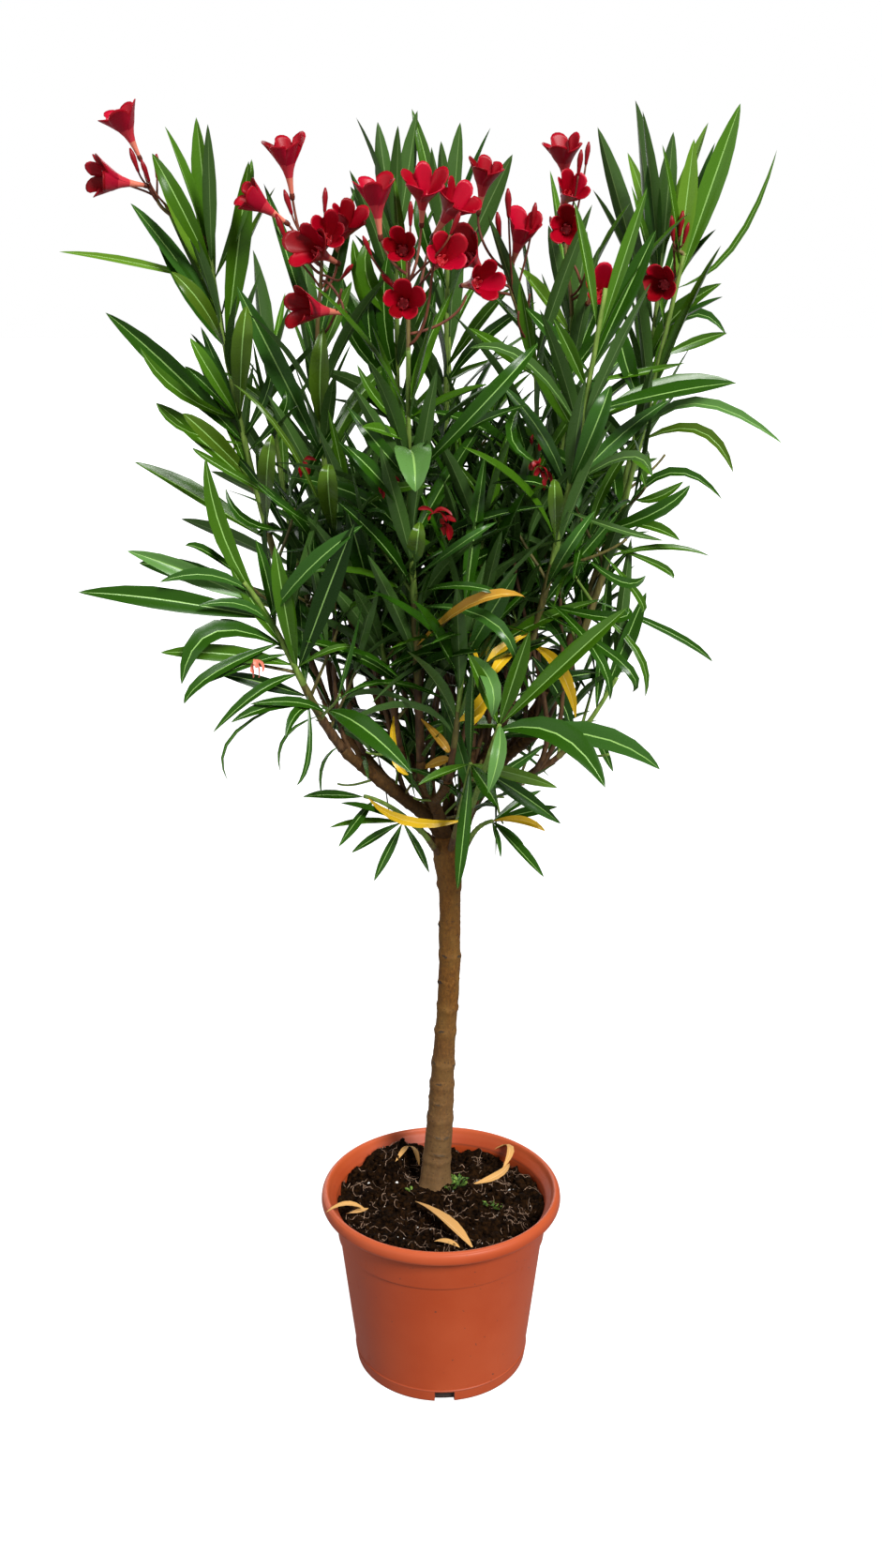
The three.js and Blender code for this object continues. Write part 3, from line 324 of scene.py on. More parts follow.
# Soil
# Dark potting compost of peat and bark, left rough on top, with a heap at the back left and a level
# patch round the stem. It fills the pot to 25 mm below the rim.
SOIL_LEVEL = 229 * MM
SOIL_LUMP = 5 * MM
SOIL_HEAP = 20 * MM
SOIL_HEAP_REACH = 50 * MM
SOIL_HEAP_AT = (-66 * MM, 92 * MM)
SOIL_CLODS = [(6 * MM, 19 * MM), (4.6 * MM, 9 * MM), (2.2 * MM, 3.8 * MM)]
STEM_LEVEL = 232 * MM
STEM_FOOT = np.array([-9, 45]) * MM
FLARE_RADIUS = 23 * MM
SOIL_GAP = 0.45 * MM
SOIL_FOOT = POT_FLOOR + 0.3 * MM
SOIL_RINGS = 110
SOIL_TURNS = 300


def chance(a, b, c):
    """A repeatable number from 0 to 1 for three numbers: the fraction of a large sine."""
    value = np.sin(a * 12.9898 + b * 78.233 + c * 37.719) * 43758.5453
    return value - np.floor(value)


def smooth(value, low, high):
    """0 below low, 1 above high, and a smooth step between."""
    share = np.clip((value - low) / (high - low), 0, 1)
    return share * share * (3 - 2 * share)


def clods(points, size, seed):
    """Smooth lumps from -1 to 1: chance values at the corners of cubes of a size, blended inside."""
    cell = points / size
    base = np.floor(cell)
    share = smooth(cell - base, 0, 1)
    total = np.zeros(cell.shape[:-1])
    for corner in np.ndindex(2, 2, 2):
        weight = np.prod(np.where(corner, share, 1 - share), axis=-1)
        x, y, z = np.moveaxis(base + corner, -1, 0)
        total += weight * chance(x + 31 * seed, y + 17 * seed, z)
    return 2 * total - 1


def soil_height(flat):
    """The compost's height: a level patch round the stem, then low waves, a heap, clods and crumbs."""
    across, deep = np.moveaxis(flat / MM, -1, 0)
    from_stem = np.linalg.norm(flat - STEM_FOOT, axis=-1)
    from_heap = np.linalg.norm(flat - SOIL_HEAP_AT, axis=-1)
    waves = np.sin(across / 13 + np.sin(deep / 19) * 2) * np.cos(deep / 15 + np.sin(across / 23) * 2)
    heap = SOIL_HEAP * np.exp(-((from_heap / SOIL_HEAP_REACH) ** 2))
    share = smooth(from_stem, FLARE_RADIUS + 6 * MM, FLARE_RADIUS + 32 * MM)
    level = STEM_LEVEL + (SOIL_LEVEL + 0.5 * SOIL_LUMP * waves + heap - STEM_LEVEL) * share
    ground = np.stack([flat[..., 0], flat[..., 1], np.zeros_like(share)], -1)
    rough = sum(high * clods(ground, wide, 1 + k) for k, (high, wide) in enumerate(SOIL_CLODS))
    return level + rough * (0.25 + 0.75 * share)


circle = np.stack([np.cos(turns(SOIL_TURNS)), np.sin(turns(SOIL_TURNS))], -1)
soil_rim = circle * (pot_inner(SOIL_LEVEL) - SOIL_GAP)
ring_share = (np.arange(1, SOIL_RINGS + 1) / SOIL_RINGS)[:, None, None]
soil_flat = STEM_FOOT + (soil_rim - STEM_FOOT) * ring_share
soil_top = np.concatenate([soil_flat, soil_height(soil_flat)[..., None]], -1)
soil_top[-1, :, :2] = circle * (pot_inner(soil_top[-1, :, 2:]) - SOIL_GAP)
soil_foot = np.full((SOIL_TURNS, 3), SOIL_FOOT)
soil_foot[:, :2] = circle * (pot_inner(SOIL_FOOT) - SOIL_GAP)
soil_skin = np.concatenate([soil_top, soil_foot[None]])[::-1]
soil_poles = [[0, 0, SOIL_FOOT], [*STEM_FOOT, STEM_LEVEL]]
soil_points = np.concatenate([soil_skin.reshape(-1, 3), soil_poles])


def compost_look(name):
    """Moist compost: near-black clods with browner crumbs, dull, with a rough grain."""
    look = Look(name)
    crumb = look.noise(170, 6, 0.7)
    patch = look.band(look.noise(28, 4), 0.42, 0.66)
    brown = look.band(crumb, 0.46, 0.74) * 0.8 + patch * 0.15
    tint = look.mix((0.003, 0.0012, 0.0004), (0.036, 0.015, 0.004), brown)
    normal = look.bump(crumb + look.noise(700, 3) * 0.4, 2.5 * MM, 0.9)
    return look.done(tint, 0.8 + crumb * 0.2, normal, Specular_IOR_Level=0.04)


compost = compost_look("compost")
add_piece("soil_bed", soil_points, shell_faces(*soil_skin.shape[:2]), [compost], ["soil"])


# Crumbs
# Loose crumbs of compost and bark, with a few white grains of perlite, that lie on the bed.
CRUMB_COUNT = 2300
CRUMB_SIZES = (1.2 * MM, 5.5 * MM)
PERLITE_COUNT = 46
PERLITE_SIZES = (0.7 * MM, 2.2 * MM)
GRAIN_ROWS = np.array([0.8, 1.6, 2.4])
GRAIN_SIDES = 6
GRAIN_FLATNESS = 0.75


def scattered(count, reach, seed):
    """Places spread evenly over the compost: the square root of chance for the share of the radius."""
    index = np.arange(count)
    turn = 2 * np.pi * chance(index, seed, 1)
    out = reach * np.sqrt(chance(index, seed, 2))
    return np.stack([out * np.cos(turn), out * np.sin(turn)], -1)


def repeat_faces(faces, count, step):
    """The faces of one shape, repeated for each of its copies, step points apart."""
    shift = (np.arange(count) * step)[:, None, None]
    return [(part + shift).reshape(-1, part.shape[1]) for part in faces]


def add_grains(name, look, count, sizes, sink, seed):
    """Adds uneven grains with a pole at each end: three rings of a sphere, each point pushed in or out by
    chance. They are scattered over the bed, but not on the stem."""
    index = np.arange(count)[:, None, None]
    rows = GRAIN_ROWS[None, :, None]
    turn = turns(GRAIN_SIDES)
    size = sizes[0] + (sizes[1] - sizes[0]) * chance(index, seed, 3) ** 3
    push = 0.7 + 0.6 * chance(index, rows * 7 + seed, turn * 5)
    ball = np.stack([
        push * np.sin(rows) * np.cos(turn + index), push * np.sin(rows) * np.sin(turn + index),
        -push * np.cos(rows) * GRAIN_FLATNESS,
    ], -1) * size[..., None]
    poles = np.zeros((count, 2, 3))
    poles[:, :, 2] = size[:, 0] * np.array([-0.7, 0.7])
    points = np.concatenate([ball.reshape(count, -1, 3), poles], axis=1)
    flat = scattered(count, pot_inner(SOIL_LEVEL) - 5 * MM, seed)
    away = np.linalg.norm(flat - STEM_FOOT, axis=1) > FLARE_RADIUS
    high = soil_height(flat) + size[:, 0, 0] * sink
    grains = (points + np.concatenate([flat, high[:, None]], -1)[:, None])[away]
    faces = repeat_faces(shell_faces(len(GRAIN_ROWS), GRAIN_SIDES), len(grains), grains.shape[1])
    add_piece(name, grains, faces, [look])


perlite = grainy_look("perlite", (0.5, 0.48, 0.44), (0.85, 0.84, 0.8), 800, 0.85, 0.4 * MM)
add_grains("soil_crumbs", compost, CRUMB_COUNT, CRUMB_SIZES, 0.2, 11)
add_grains("perlite_grains", perlite, PERLITE_COUNT, PERLITE_SIZES, 0.6, 12)


# Surface roots
# Fine dead feeding roots, pale brown, which have been washed bare and lie in loops on the compost.
ROOT_COUNT = 150
ROOT_STEPS = 14
ROOT_SIDES = 4
ROOT_REACH = 136 * MM


def unit(vector):
    return vector / np.linalg.norm(vector, axis=-1, keepdims=True)


def square_to(way, near=(1.0, 0, 0)):
    """Two directions square to a way, the first as near to a given direction, or +X, as it can be."""
    side = unit(near - way * (way @ np.array(near))[..., None])
    return side, np.cross(way, side)


def ring_of(way, turn, near=(1.0, 0, 0)):
    """Directions square to each way, at turns round it: side cos a + up sin a."""
    side, up = square_to(way, near)
    return side[..., None, :] * np.cos(turn)[..., None] + up[..., None, :] * np.sin(turn)[..., None]


def tube(line, radius, sides, near=(1.0, 0, 0)):
    """Points round a line: centre + radius x a direction square to it, with a pole at each end.
    The line's last two axes are its steps and x, y, z, and the radius's are its steps and sides."""
    reach = np.broadcast_to(radius, (*line.shape[:-1], sides))[..., None]
    skin = line[..., None, :] + reach * ring_of(unit(np.gradient(line, axis=-2)), turns(sides), near)
    return np.concatenate([skin.reshape(*line.shape[:-2], -1, 3), line[..., [0, -1], :]], axis=-2)


root_index = np.arange(ROOT_COUNT)[:, None]
root_step = np.arange(ROOT_STEPS)
root_bend = (chance(root_index, 21, root_step) - 0.5) * 0.8 + (chance(root_index, 22, 0) - 0.5) * 0.9
root_heading = 2 * np.pi * chance(root_index, 23, 0) + np.cumsum(root_bend, axis=1)
root_stride = (1.6 + 3.4 * chance(root_index, 24, 0) ** 2)[..., None] * MM
root_way = np.stack([np.cos(root_heading), np.sin(root_heading)], -1)
root_flat = np.cumsum(root_way * root_stride, axis=1) + scattered(ROOT_COUNT, 132 * MM, 25)[:, None]
root_flat *= np.minimum(1, ROOT_REACH / np.linalg.norm(root_flat, axis=-1, keepdims=True))
root_high = soil_height(root_flat) + (1.2 + 2.2 * chance(root_index, 26, root_step)) * MM
root_width = (0.22 + 0.32 * chance(root_index, 27, 0)) * MM
roots = tube(
    np.concatenate([root_flat, root_high[..., None]], -1), root_width[..., None], ROOT_SIDES, (0, 0, 1.0),
)
root_look = grainy_look("root_fibre", (0.07, 0.035, 0.018), (0.3, 0.19, 0.12), 260, 0.7, 0.3 * MM, 0.4, 0.62)
root_faces = repeat_faces(shell_faces(ROOT_STEPS, ROOT_SIDES), ROOT_COUNT, roots.shape[1])
add_piece("surface_roots", roots, root_faces, [root_look])


# Dropped leaves
# Old leaves that have dried to a papery tan and curled. They lie on the compost, and one leans over the
# lip at the left. Each is given by its root, its middle and its tip, in millimetres, and its width.
BLADE_RINGS = np.array([0.02, 0.08, 0.18, 0.32, 0.47, 0.62, 0.76, 0.88, 0.96])
BLADE_COLUMNS = np.array([1, 0.5, 0.06, -0.06, -0.5, -1, -0.05, 0.05])
IS_KEEL = np.array([0, 0, 0, 0, 0, 0, 1, 1])
LEAF_OUTLINE = np.sin(np.pi * BLADE_RINGS**1.1) ** 0.8
BLADE_WAVE = 0.05
RIM_ANGLE = np.radians(65)
DROPPED = np.array([
    (-35, -19, 242, 4, -72, 248, 41, -123, 238, 20), (-9, -106, 238, 8, -112, 241, 24, -120, 238, 10),
    (42, 29, 238, 76, 40, 244, 95, 79, 240, 12), (75, 119, 238, 96, 100, 252, 84, 62, 240, 11),
    (-63, 69, 248, -53, 84, 256, -46, 101, 254, 7), (-46, 101, 254, -36, 84, 257, -30, 62, 246, 7),
    (-150, -64, 253, -124, -54, 260, -99, -46, 246, 9), (-126, -40, 236, -110, -42, 241, -96, -30, 238, 8),
]) * MM


def blades(root, middle, tip, facing, width, outline, fold, twist, thickness, wave=BLADE_WAVE, arch=0.0):
    """Closed thin leaves or petals. The centreline is the quadratic curve through root, middle and tip,
    raised by 2.6 arch (s - s^3), so that it falls off towards the tip. Half the width is width / 2 x
    outline, and the two halves are lifted by fold to make a gutter, with a ripple of wave x half."""
    width, fold, twist = (np.broadcast_to(part, len(root))[:, None] for part in (width, fold, twist))
    share = BLADE_RINGS[:, None]
    rise = np.zeros((len(root), 1, 3))
    rise[:, 0, 2] = 2.6 * arch
    bend = (2 * middle - (root + tip) / 2)[:, None]
    root_end, tip_end = root[:, None], tip[:, None]
    centre = (1 - share) ** 2 * root_end + 2 * share * (1 - share) * bend + share**2 * tip_end
    centre = centre + rise * (share - share**3)
    slope = 2 * (1 - share) * (bend - root_end) + 2 * share * (tip_end - bend) + rise * (1 - 3 * share**2)
    way = unit(slope)
    flat = unit(np.cross(facing[:, None], way))
    upright = np.cross(way, flat)
    turn = (twist * (BLADE_RINGS - 0.35))[..., None]
    across = flat * np.cos(turn) + upright * np.sin(turn)
    normal = upright * np.cos(turn) - flat * np.sin(turn)
    half = np.maximum(width / 2 * outline, 0.03 * width)[..., None]
    side = np.abs(BLADE_COLUMNS)
    ripple = wave * np.sin(9 * share + 60 * width[..., None] / MM + 2 * BLADE_COLUMNS)
    lift = half * (fold[..., None] * side + ripple * side + 0.1 * (side == 0.5))
    lift = lift - IS_KEEL * thickness * (1.25 - share)
    aside = (half * BLADE_COLUMNS)[..., None]
    skin = centre[:, :, None] + across[:, :, None] * aside + normal[:, :, None] * lift[..., None]
    return np.concatenate([skin.reshape(len(root), -1, 3), root_end, tip_end], axis=1)


def add_blades(name, points, looks, kinds, nodes=()):
    """One piece of many blades. Kinds are the looks of their upper faces, upper ribs, undersides and
    keels, or one look for all. The rims stay sharp, and the rest is smooth."""
    parts = kinds if isinstance(kinds, tuple) else (kinds,) * 4
    top, rib, under, keel = (np.broadcast_to(part, len(points)) for part in parts)
    strips = np.stack([top, top, rib, top, top, under, keel, under], -1)
    dealt = [np.tile(strips, (1, repeats)).ravel() for repeats in (len(BLADE_RINGS) - 1, 2)]
    faces = repeat_faces(shell_faces(len(BLADE_RINGS), len(BLADE_COLUMNS)), len(points), points.shape[1])
    piece = add_piece(name, points, faces, looks, nodes, np.concatenate(dealt))
    piece.data.set_sharp_from_angle(angle=RIM_ANGLE)


def leaf_look(name, colour, roughness):
    """One plain leaf colour, with a faint mottle in its shine and fine veins that catch the light."""
    look = Look(name)
    shine = roughness - 0.08 + look.noise(60, 3) * 0.16
    return look.done(colour, shine, look.bump(look.noise(1100, 2), 0.25 * MM, 0.35), Specular_IOR_Level=0.17)


dry_looks = [
    leaf_look("dry_leaf", (0.5, 0.27, 0.085), 0.7),
    leaf_look("dry_leaf_rib", (0.62, 0.4, 0.17), 0.7),
]
number = np.arange(len(DROPPED))
dropped_facing = unit(np.array([0.25, -0.35, 1.0]) + 0.4 * chance(number[:, None], np.arange(3), 31))
dropped = blades(
    DROPPED[:, :3], DROPPED[:, 3:6], DROPPED[:, 6:9], dropped_facing, DROPPED[:, 9], LEAF_OUTLINE,
    0.1 + 0.35 * chance(number, 32, 0), 2.2 * (chance(number, 33, 0) - 0.5), 0.5 * MM,
)
add_blades("dropped_leaves", dropped, dry_looks, (0, 1, 0, 1))


# Moss
# A tuft of moss against the stem's foot and a few green sprigs in front of it, soft and fresh green. Each
# tuft is given by its middle, its reach and its count of sprigs.
MOSS_TUFTS = [(16, 36, 15, 90), (24, 46, 12, 60), (66, -8, 9, 30), (76, -14, 7, 22), (-40, 20, 5, 10)]
MOSS_WIDTH = 0.42
UP = np.array([0, 0, 1.0])

moss_rows = []
for tuft, (x, y, reach, count) in enumerate(MOSS_TUFTS):
    number = np.arange(count)
    turn = 2 * np.pi * chance(number, 41 + tuft, 0)
    out = np.stack([np.cos(turn), np.sin(turn)], -1)
    place = (np.array([x, y]) + out * reach * np.sqrt(chance(number, 41 + tuft, 1))[:, None]) * MM
    base = np.concatenate([place, soil_height(place)[:, None] - 0.5 * MM], -1)
    lean = np.concatenate([out, (0.6 + 1.4 * chance(number, 41 + tuft, 2))[:, None]], -1)
    length = (4 + 5 * chance(number, 41 + tuft, 3))[:, None] * MM
    moss_rows.append(np.concatenate([base, base + unit(lean) * length, length], -1))
moss = np.concatenate(moss_rows)
number = np.arange(len(moss))
moss_facing = np.full((len(moss), 3), 0.7)
moss_facing[:, :2] = chance(number[:, None], np.array([45, 46]), 0) - 0.5
moss_points = blades(
    moss[:, :3], (moss[:, :3] + moss[:, 3:6]) / 2 + UP * MM, moss[:, 3:6], unit(moss_facing),
    moss[:, 6] * MOSS_WIDTH, LEAF_OUTLINE, 0.2, 0.0, 0.2 * MM,
)
moss_looks = [
    leaf_look("moss", (0.13, 0.22, 0.035), 0.6),
    leaf_look("moss_shade", (0.05, 0.11, 0.02), 0.6),
]
add_blades("moss_tufts", moss_points, moss_looks, (chance(number, 47, 0) > 0.6).astype(int))


# Trunk
# The standard's one bare stem, grown from a cutting: brown bark, greyer low down, with a fine crackle, rings
# and small dark scars where old leaves sat, a flared foot, and a swollen head where it was topped and forks.
TRUNK_BELOW = 10 * MM
TRUNK_LINE = [(-2, 41, 320), (2, 37, 407), (8, 33, 492), (11, 30, 573), (11, 25, 654), (11, 22, 713)]
TRUNK_HEAD = (11, 21, 752)
TRUNK_FOOT_RADIUS = 18.8 * MM
TRUNK_WAIST_RADIUS = 13.6 * MM
TRUNK_WAIST_LEVEL = 520 * MM
TRUNK_SWELL_LEVEL = 660 * MM
TRUNK_HEAD_RADIUS = 23 * MM
KNOBS = np.array([272, 335, 386, 417, 466, 501, 576, 677]) * MM
KNOB_RISE = 1.3 * MM
SCARS = [250, 282, 313, 341, 363, 391, 421, 469, 503, 540, 579, 622, 674, 712]
RING_RISE, RING_FALL = 0.22 * MM, 0.12 * MM
SCAR_RISE, SCAR_PIT = 1.3 * MM, 0.9 * MM
SCAR_WIDTH, SCAR_HEIGHT = 4.2, 1.5
SCAR_EDGE = 0.36
FOOT_LOBES = 5
LOBE_SHARE, LOBE_FADE = 0.07, 24
TRUNK_BARK_DEPTH = 0.75 * MM
TRUNK_SIDES = 84
TRUNK_STEPS = 440
STEM_GREY = (0.12, 0.078, 0.04)
PORE = (0.02, 0.012, 0.008)

trunk_posts = np.array([(*STEM_FOOT / MM, (STEM_LEVEL - TRUNK_BELOW) / MM), *TRUNK_LINE, TRUNK_HEAD]) * MM


def trunk_line(share):
    """The centripetal Catmull-Rom curve through the trunk's posts, which are evenly spaced in share."""
    before, after = 2 * trunk_posts[0] - trunk_posts[1], 2 * trunk_posts[-1] - trunk_posts[-2]
    posts = np.array([before, *trunk_posts, after])
    along = np.asarray(share) * (len(trunk_posts) - 1)
    step = np.minimum(along.astype(int), len(trunk_posts) - 2)
    t = (along - step)[..., None]
    p0, p1, p2, p3 = (posts[step + k] for k in range(4))
    sides = (p1 - p0, p2 - p1, p3 - p2)
    d0, d1, d2 = (np.sqrt(np.linalg.norm(side, axis=-1, keepdims=True)) for side in sides)
    m1 = ((p1 - p0) / d0 - (p2 - p0) / (d0 + d1) + (p2 - p1) / d1) * d1
    m2 = ((p2 - p1) / d1 - (p3 - p1) / (d1 + d2) + (p3 - p2) / d2) * d1
    return p1 + m1 * t + (3 * (p2 - p1) - 2 * m1 - m2) * t**2 + (2 * (p1 - p2) + m1 + m2) * t**3


def trunk_radius(high):
    """The stem's radius at a height: its taper, flare, head, rounded crest and old leaf rings."""
    head = TRUNK_HEAD[2] * MM
    taper = (TRUNK_WAIST_RADIUS - TRUNK_FOOT_RADIUS) * smooth(high, STEM_LEVEL, TRUNK_WAIST_LEVEL)
    flare = (FLARE_RADIUS - TRUNK_FOOT_RADIUS) * np.exp(-(high - STEM_LEVEL) / (14 * MM))
    swell = (TRUNK_HEAD_RADIUS - TRUNK_WAIST_RADIUS) * smooth(high, TRUNK_SWELL_LEVEL, head - 8 * MM)
    rings = np.exp(-(((high[:, None] - KNOBS) / (6 * MM)) ** 2)).sum(-1)
    crest = 1 - 0.35 * smooth(high, head - 9 * MM, head)
    return (TRUNK_FOOT_RADIUS + taper + flare + swell + KNOB_RISE * rings) * crest


def bark(line, radius, sides, seed, depth):
    """Bark relief on a limb: its radius at each step and side, with long ridges, lumps and a fine crackle
    of the given depth, read from lumps that are stretched along the limb."""
    turn = turns(sides)
    radius = radius[:, None]
    along = np.concatenate([[0], np.cumsum(np.linalg.norm(np.diff(line, axis=0), axis=1))])[:, None]
    places = (np.cos(turn) * radius, np.sin(turn) * radius, along * 0.4)
    ring = np.stack(np.broadcast_arrays(*places), -1)
    ridges = clods(ring, 4.5 * MM, seed) + 0.6 * clods(ring * [1, 1, 2.2], 2.2 * MM, seed + 1)
    lumps = clods(ring * [0.5, 0.5, 1], 9 * MM, seed + 2)
    return radius + depth * (0.5 * ridges + 1.1 * lumps)


def bark_look(name, dark, mid, light, bloom):
    """Thin bark: upright streaks of three browns, a dull bloom in patches, dark pores, and a greyer tone
    low on the stem."""
    look = Look(name)
    streak = look.noise(300, 6, 0.7, (1, 1, 0.55))
    patch = look.band(look.noise(38, 4, 0.6, (1, 1, 0.5)), 0.4, 0.64)
    pores = look.band(look.noise(420, 2, 0.5, (0.6, 0.6, 1.3)), 0.64, 0.72)
    tint = look.mix(dark, mid, look.band(streak, 0.34, 0.6))
    tint = look.mix(tint, light, look.band(streak, 0.56, 0.78) * 0.7)
    tint = look.mix(tint, bloom, patch * 0.55)
    tint = look.mix(tint, STEM_GREY, look.band(look.height(), 0.52, 0.26) * 0.5)
    tint = look.mix(tint, PORE, pores * 0.75)
    normal = look.bump(streak + look.noise(900, 3) * 0.35 - pores * 0.5, 0.8 * MM, 0.7)
    return look.done(tint, 0.62 + streak * 0.25, normal, Specular_IOR_Level=0.2)


trunk_barks = [
    bark_look(
        "trunk_bark", (0.068, 0.025, 0.003), (0.128, 0.05, 0.006), (0.215, 0.1, 0.024), (0.135, 0.07, 0.014),
    ),
    bark_look(
        "leaf_scars", (0.012, 0.006, 0.004), (0.035, 0.018, 0.009), (0.08, 0.045, 0.02), (0.04, 0.03, 0.015),
    ),
]
trunk_shares = np.linspace(0, 1, 2000)
trunk_heights = trunk_line(trunk_shares)[:, 2]
even_heights = np.linspace(STEM_LEVEL - 2 * MM, trunk_heights[-1], TRUNK_STEPS)
trunk_path = trunk_line(np.interp(even_heights, trunk_heights, trunk_shares))
trunk_reach = trunk_radius(trunk_path[:, 2])
trunk_turn = turns(TRUNK_SIDES)
trunk_skin = bark(trunk_path, trunk_reach, TRUNK_SIDES, 51, TRUNK_BARK_DEPTH)
trunk_high = trunk_path[:, 2:] / MM
scarred = np.zeros(trunk_skin.shape)
for k, scar in enumerate(SCARS):
    tilted = trunk_high - scar - 2.2 * np.sin(trunk_turn + 3 * k) - 0.8 * np.sin(3 * trunk_turn + k)
    trunk_skin += RING_RISE * np.exp(-((tilted / 2.4) ** 2))
    trunk_skin -= RING_FALL * np.exp(-(((tilted - 4) / 1.6) ** 2))
    for node in range(2):
        facing = -np.pi / 2 + 4.4 * (chance(k, 52, node) - 0.5)
        around = (trunk_turn - facing + np.pi) % (2 * np.pi) - np.pi
        aside = around * trunk_reach[:, None] / MM
        spot = (aside / SCAR_WIDTH) ** 2 + ((tilted - 0.6) / SCAR_HEIGHT) ** 2
        scarred += np.exp(-spot)
        trunk_skin += SCAR_RISE * np.exp(-spot * 0.4) - SCAR_PIT * np.exp(-spot)
fade = np.exp(-(trunk_high - STEM_LEVEL / MM) / LOBE_FADE)
trunk_skin *= 1 + LOBE_SHARE * fade * np.cos(FOOT_LOBES * trunk_turn + 0.7)
trunk_faces = shell_faces(TRUNK_STEPS, TRUNK_SIDES)
trunk_looks = np.concatenate([(scarred[:-1] > SCAR_EDGE).ravel(), np.zeros(2 * TRUNK_SIDES)])
trunk_points = tube(trunk_path, trunk_skin, TRUNK_SIDES)
add_piece("trunk_stem", trunk_points, trunk_faces, trunk_barks, ["trunk"], trunk_looks)


# Boughs
# Twenty limbs that fork from the trunk's head and from each other. The bark is a darker brown, smooth, with
# ring scars, and each limb is a little crooked. Each is given by what it forks from and at what share of it,
# its tip, the way it points there, and its radius at each end.
BOUGH_LEAVES_AT = 0.975
BOUGH_ASIDE = 0.45
BOUGH_TAPER = 0.8
BOUGH_SIDES = 26
BOUGH_STEPS = 80
BOUGH_RINGS = 9
BOUGH_RING_RISE, BOUGH_RING_WIDTH = 0.9 * MM, 2.2 * MM
BOUGH_BARK_DEPTH = 0.4 * MM
BOUGH_SWAY = 2.2 * MM
BOUGHS = [
    ("low_left", "trunk", 0, (-116, -66, 884), (-0.5, -0.38, 0.78), (10, 6.2)),
    ("right", "trunk", 0, (128, 6, 936), (0.42, 0, 0.9), (10, 6)),
    ("mid_left", "trunk", 0, (-78, -20, 940), (-0.34, -0.15, 0.93), (9, 5.6)),
    ("back_centre", "trunk", 0, (6, 74, 930), (0, 0.12, 1), (9, 5.6)),
    ("mid_right", "trunk", 0, (56, -8, 936), (0.3, -0.06, 0.95), (9, 5.6)),
    ("front", "trunk", 0, (-24, -62, 868), (-0.02, -0.2, 0.97), (8, 5.4)),
    ("back_right", "trunk", 0, (76, 96, 916), (0.3, 0.35, 0.88), (8.5, 5.2)),
    ("back_left", "trunk", 0, (-76, 92, 916), (-0.35, 0.35, 0.87), (8.5, 5.2)),
    ("left", "low_left", 0.42, (-140, -10, 930), (-0.35, 0.02, 0.94), (7, 5.4)),
    ("side_left", "back_left", 0.45, (-128, 54, 930), (-0.4, 0.12, 0.9), (6.5, 4.8)),
    ("front_right", "mid_right", 0.32, (72, -58, 910), (0.3, -0.3, 0.9), (7, 5.2)),
    ("flower_right", "mid_right", 0.58, (92, 30, 956), (0.24, 0, 0.97), (6, 4.6)),
    ("far_right", "right", 0.5, (124, -34, 908), (0.4, -0.1, 0.91), (7, 5.2)),
    ("low_right", "right", 0.3, (116, -36, 846), (0.8, -0.2, 0.55), (6, 4.2)),
    ("crown_left", "back_centre", 0.35, (-38, 84, 930), (-0.1, 0.08, 1), (6.5, 5)),
    ("back", "back_centre", 0.5, (14, 124, 916), (0.02, 0.45, 0.9), (6, 4.8)),
    ("low_back", "back_right", 0.4, (112, 92, 860), (0.72, 0.42, 0.55), (5.5, 4.2)),
    ("inner_left", "mid_left", 0.45, (-50, -54, 884), (-0.1, -0.2, 0.97), (5.5, 4.4)),
    ("inner_right", "mid_right", 0.2, (36, -54, 880), (0.1, -0.2, 0.97), (5.5, 4.4)),
    ("inner_front", "front", 0.45, (8, -84, 850), (0.15, -0.35, 0.92), (5, 4.2)),
]


class Limb:
    """A tapering limb on a cubic curve that leaves start along one way and reaches end along another."""

    def __init__(self, start, start_way, end, end_way, radii):
        reach = np.linalg.norm(end - start) / 3
        self.corners = np.array([start, start + unit(start_way) * reach, end - unit(end_way) * reach, end])
        self.radii = np.array(radii)
        self.length = np.linalg.norm(np.diff(self.line(np.linspace(0, 1, 20)), axis=0), axis=1).sum()

    def line(self, share):
        """(1-t)^3 A + 3t(1-t)^2 B + 3t^2 (1-t) C + t^3 D"""
        t = np.asarray(share, dtype=float)[..., None]
        a, b, c, d = self.corners
        return (1 - t) ** 3 * a + 3 * t * (1 - t) ** 2 * b + 3 * t**2 * (1 - t) * c + t**3 * d

    def way(self, share):
        """The curve's direction: the three sides of its corners weighed by (1-t)^2, 2t(1-t) and t^2."""
        t = np.asarray(share, dtype=float)[..., None]
        a, b, c = np.diff(self.corners, axis=0)
        return unit((1 - t) ** 2 * a + 2 * t * (1 - t) * b + t**2 * c)

    def radius(self, share):
        first, last = self.radii
        return first + (last - first) * np.asarray(share, dtype=float) ** BOUGH_TAPER


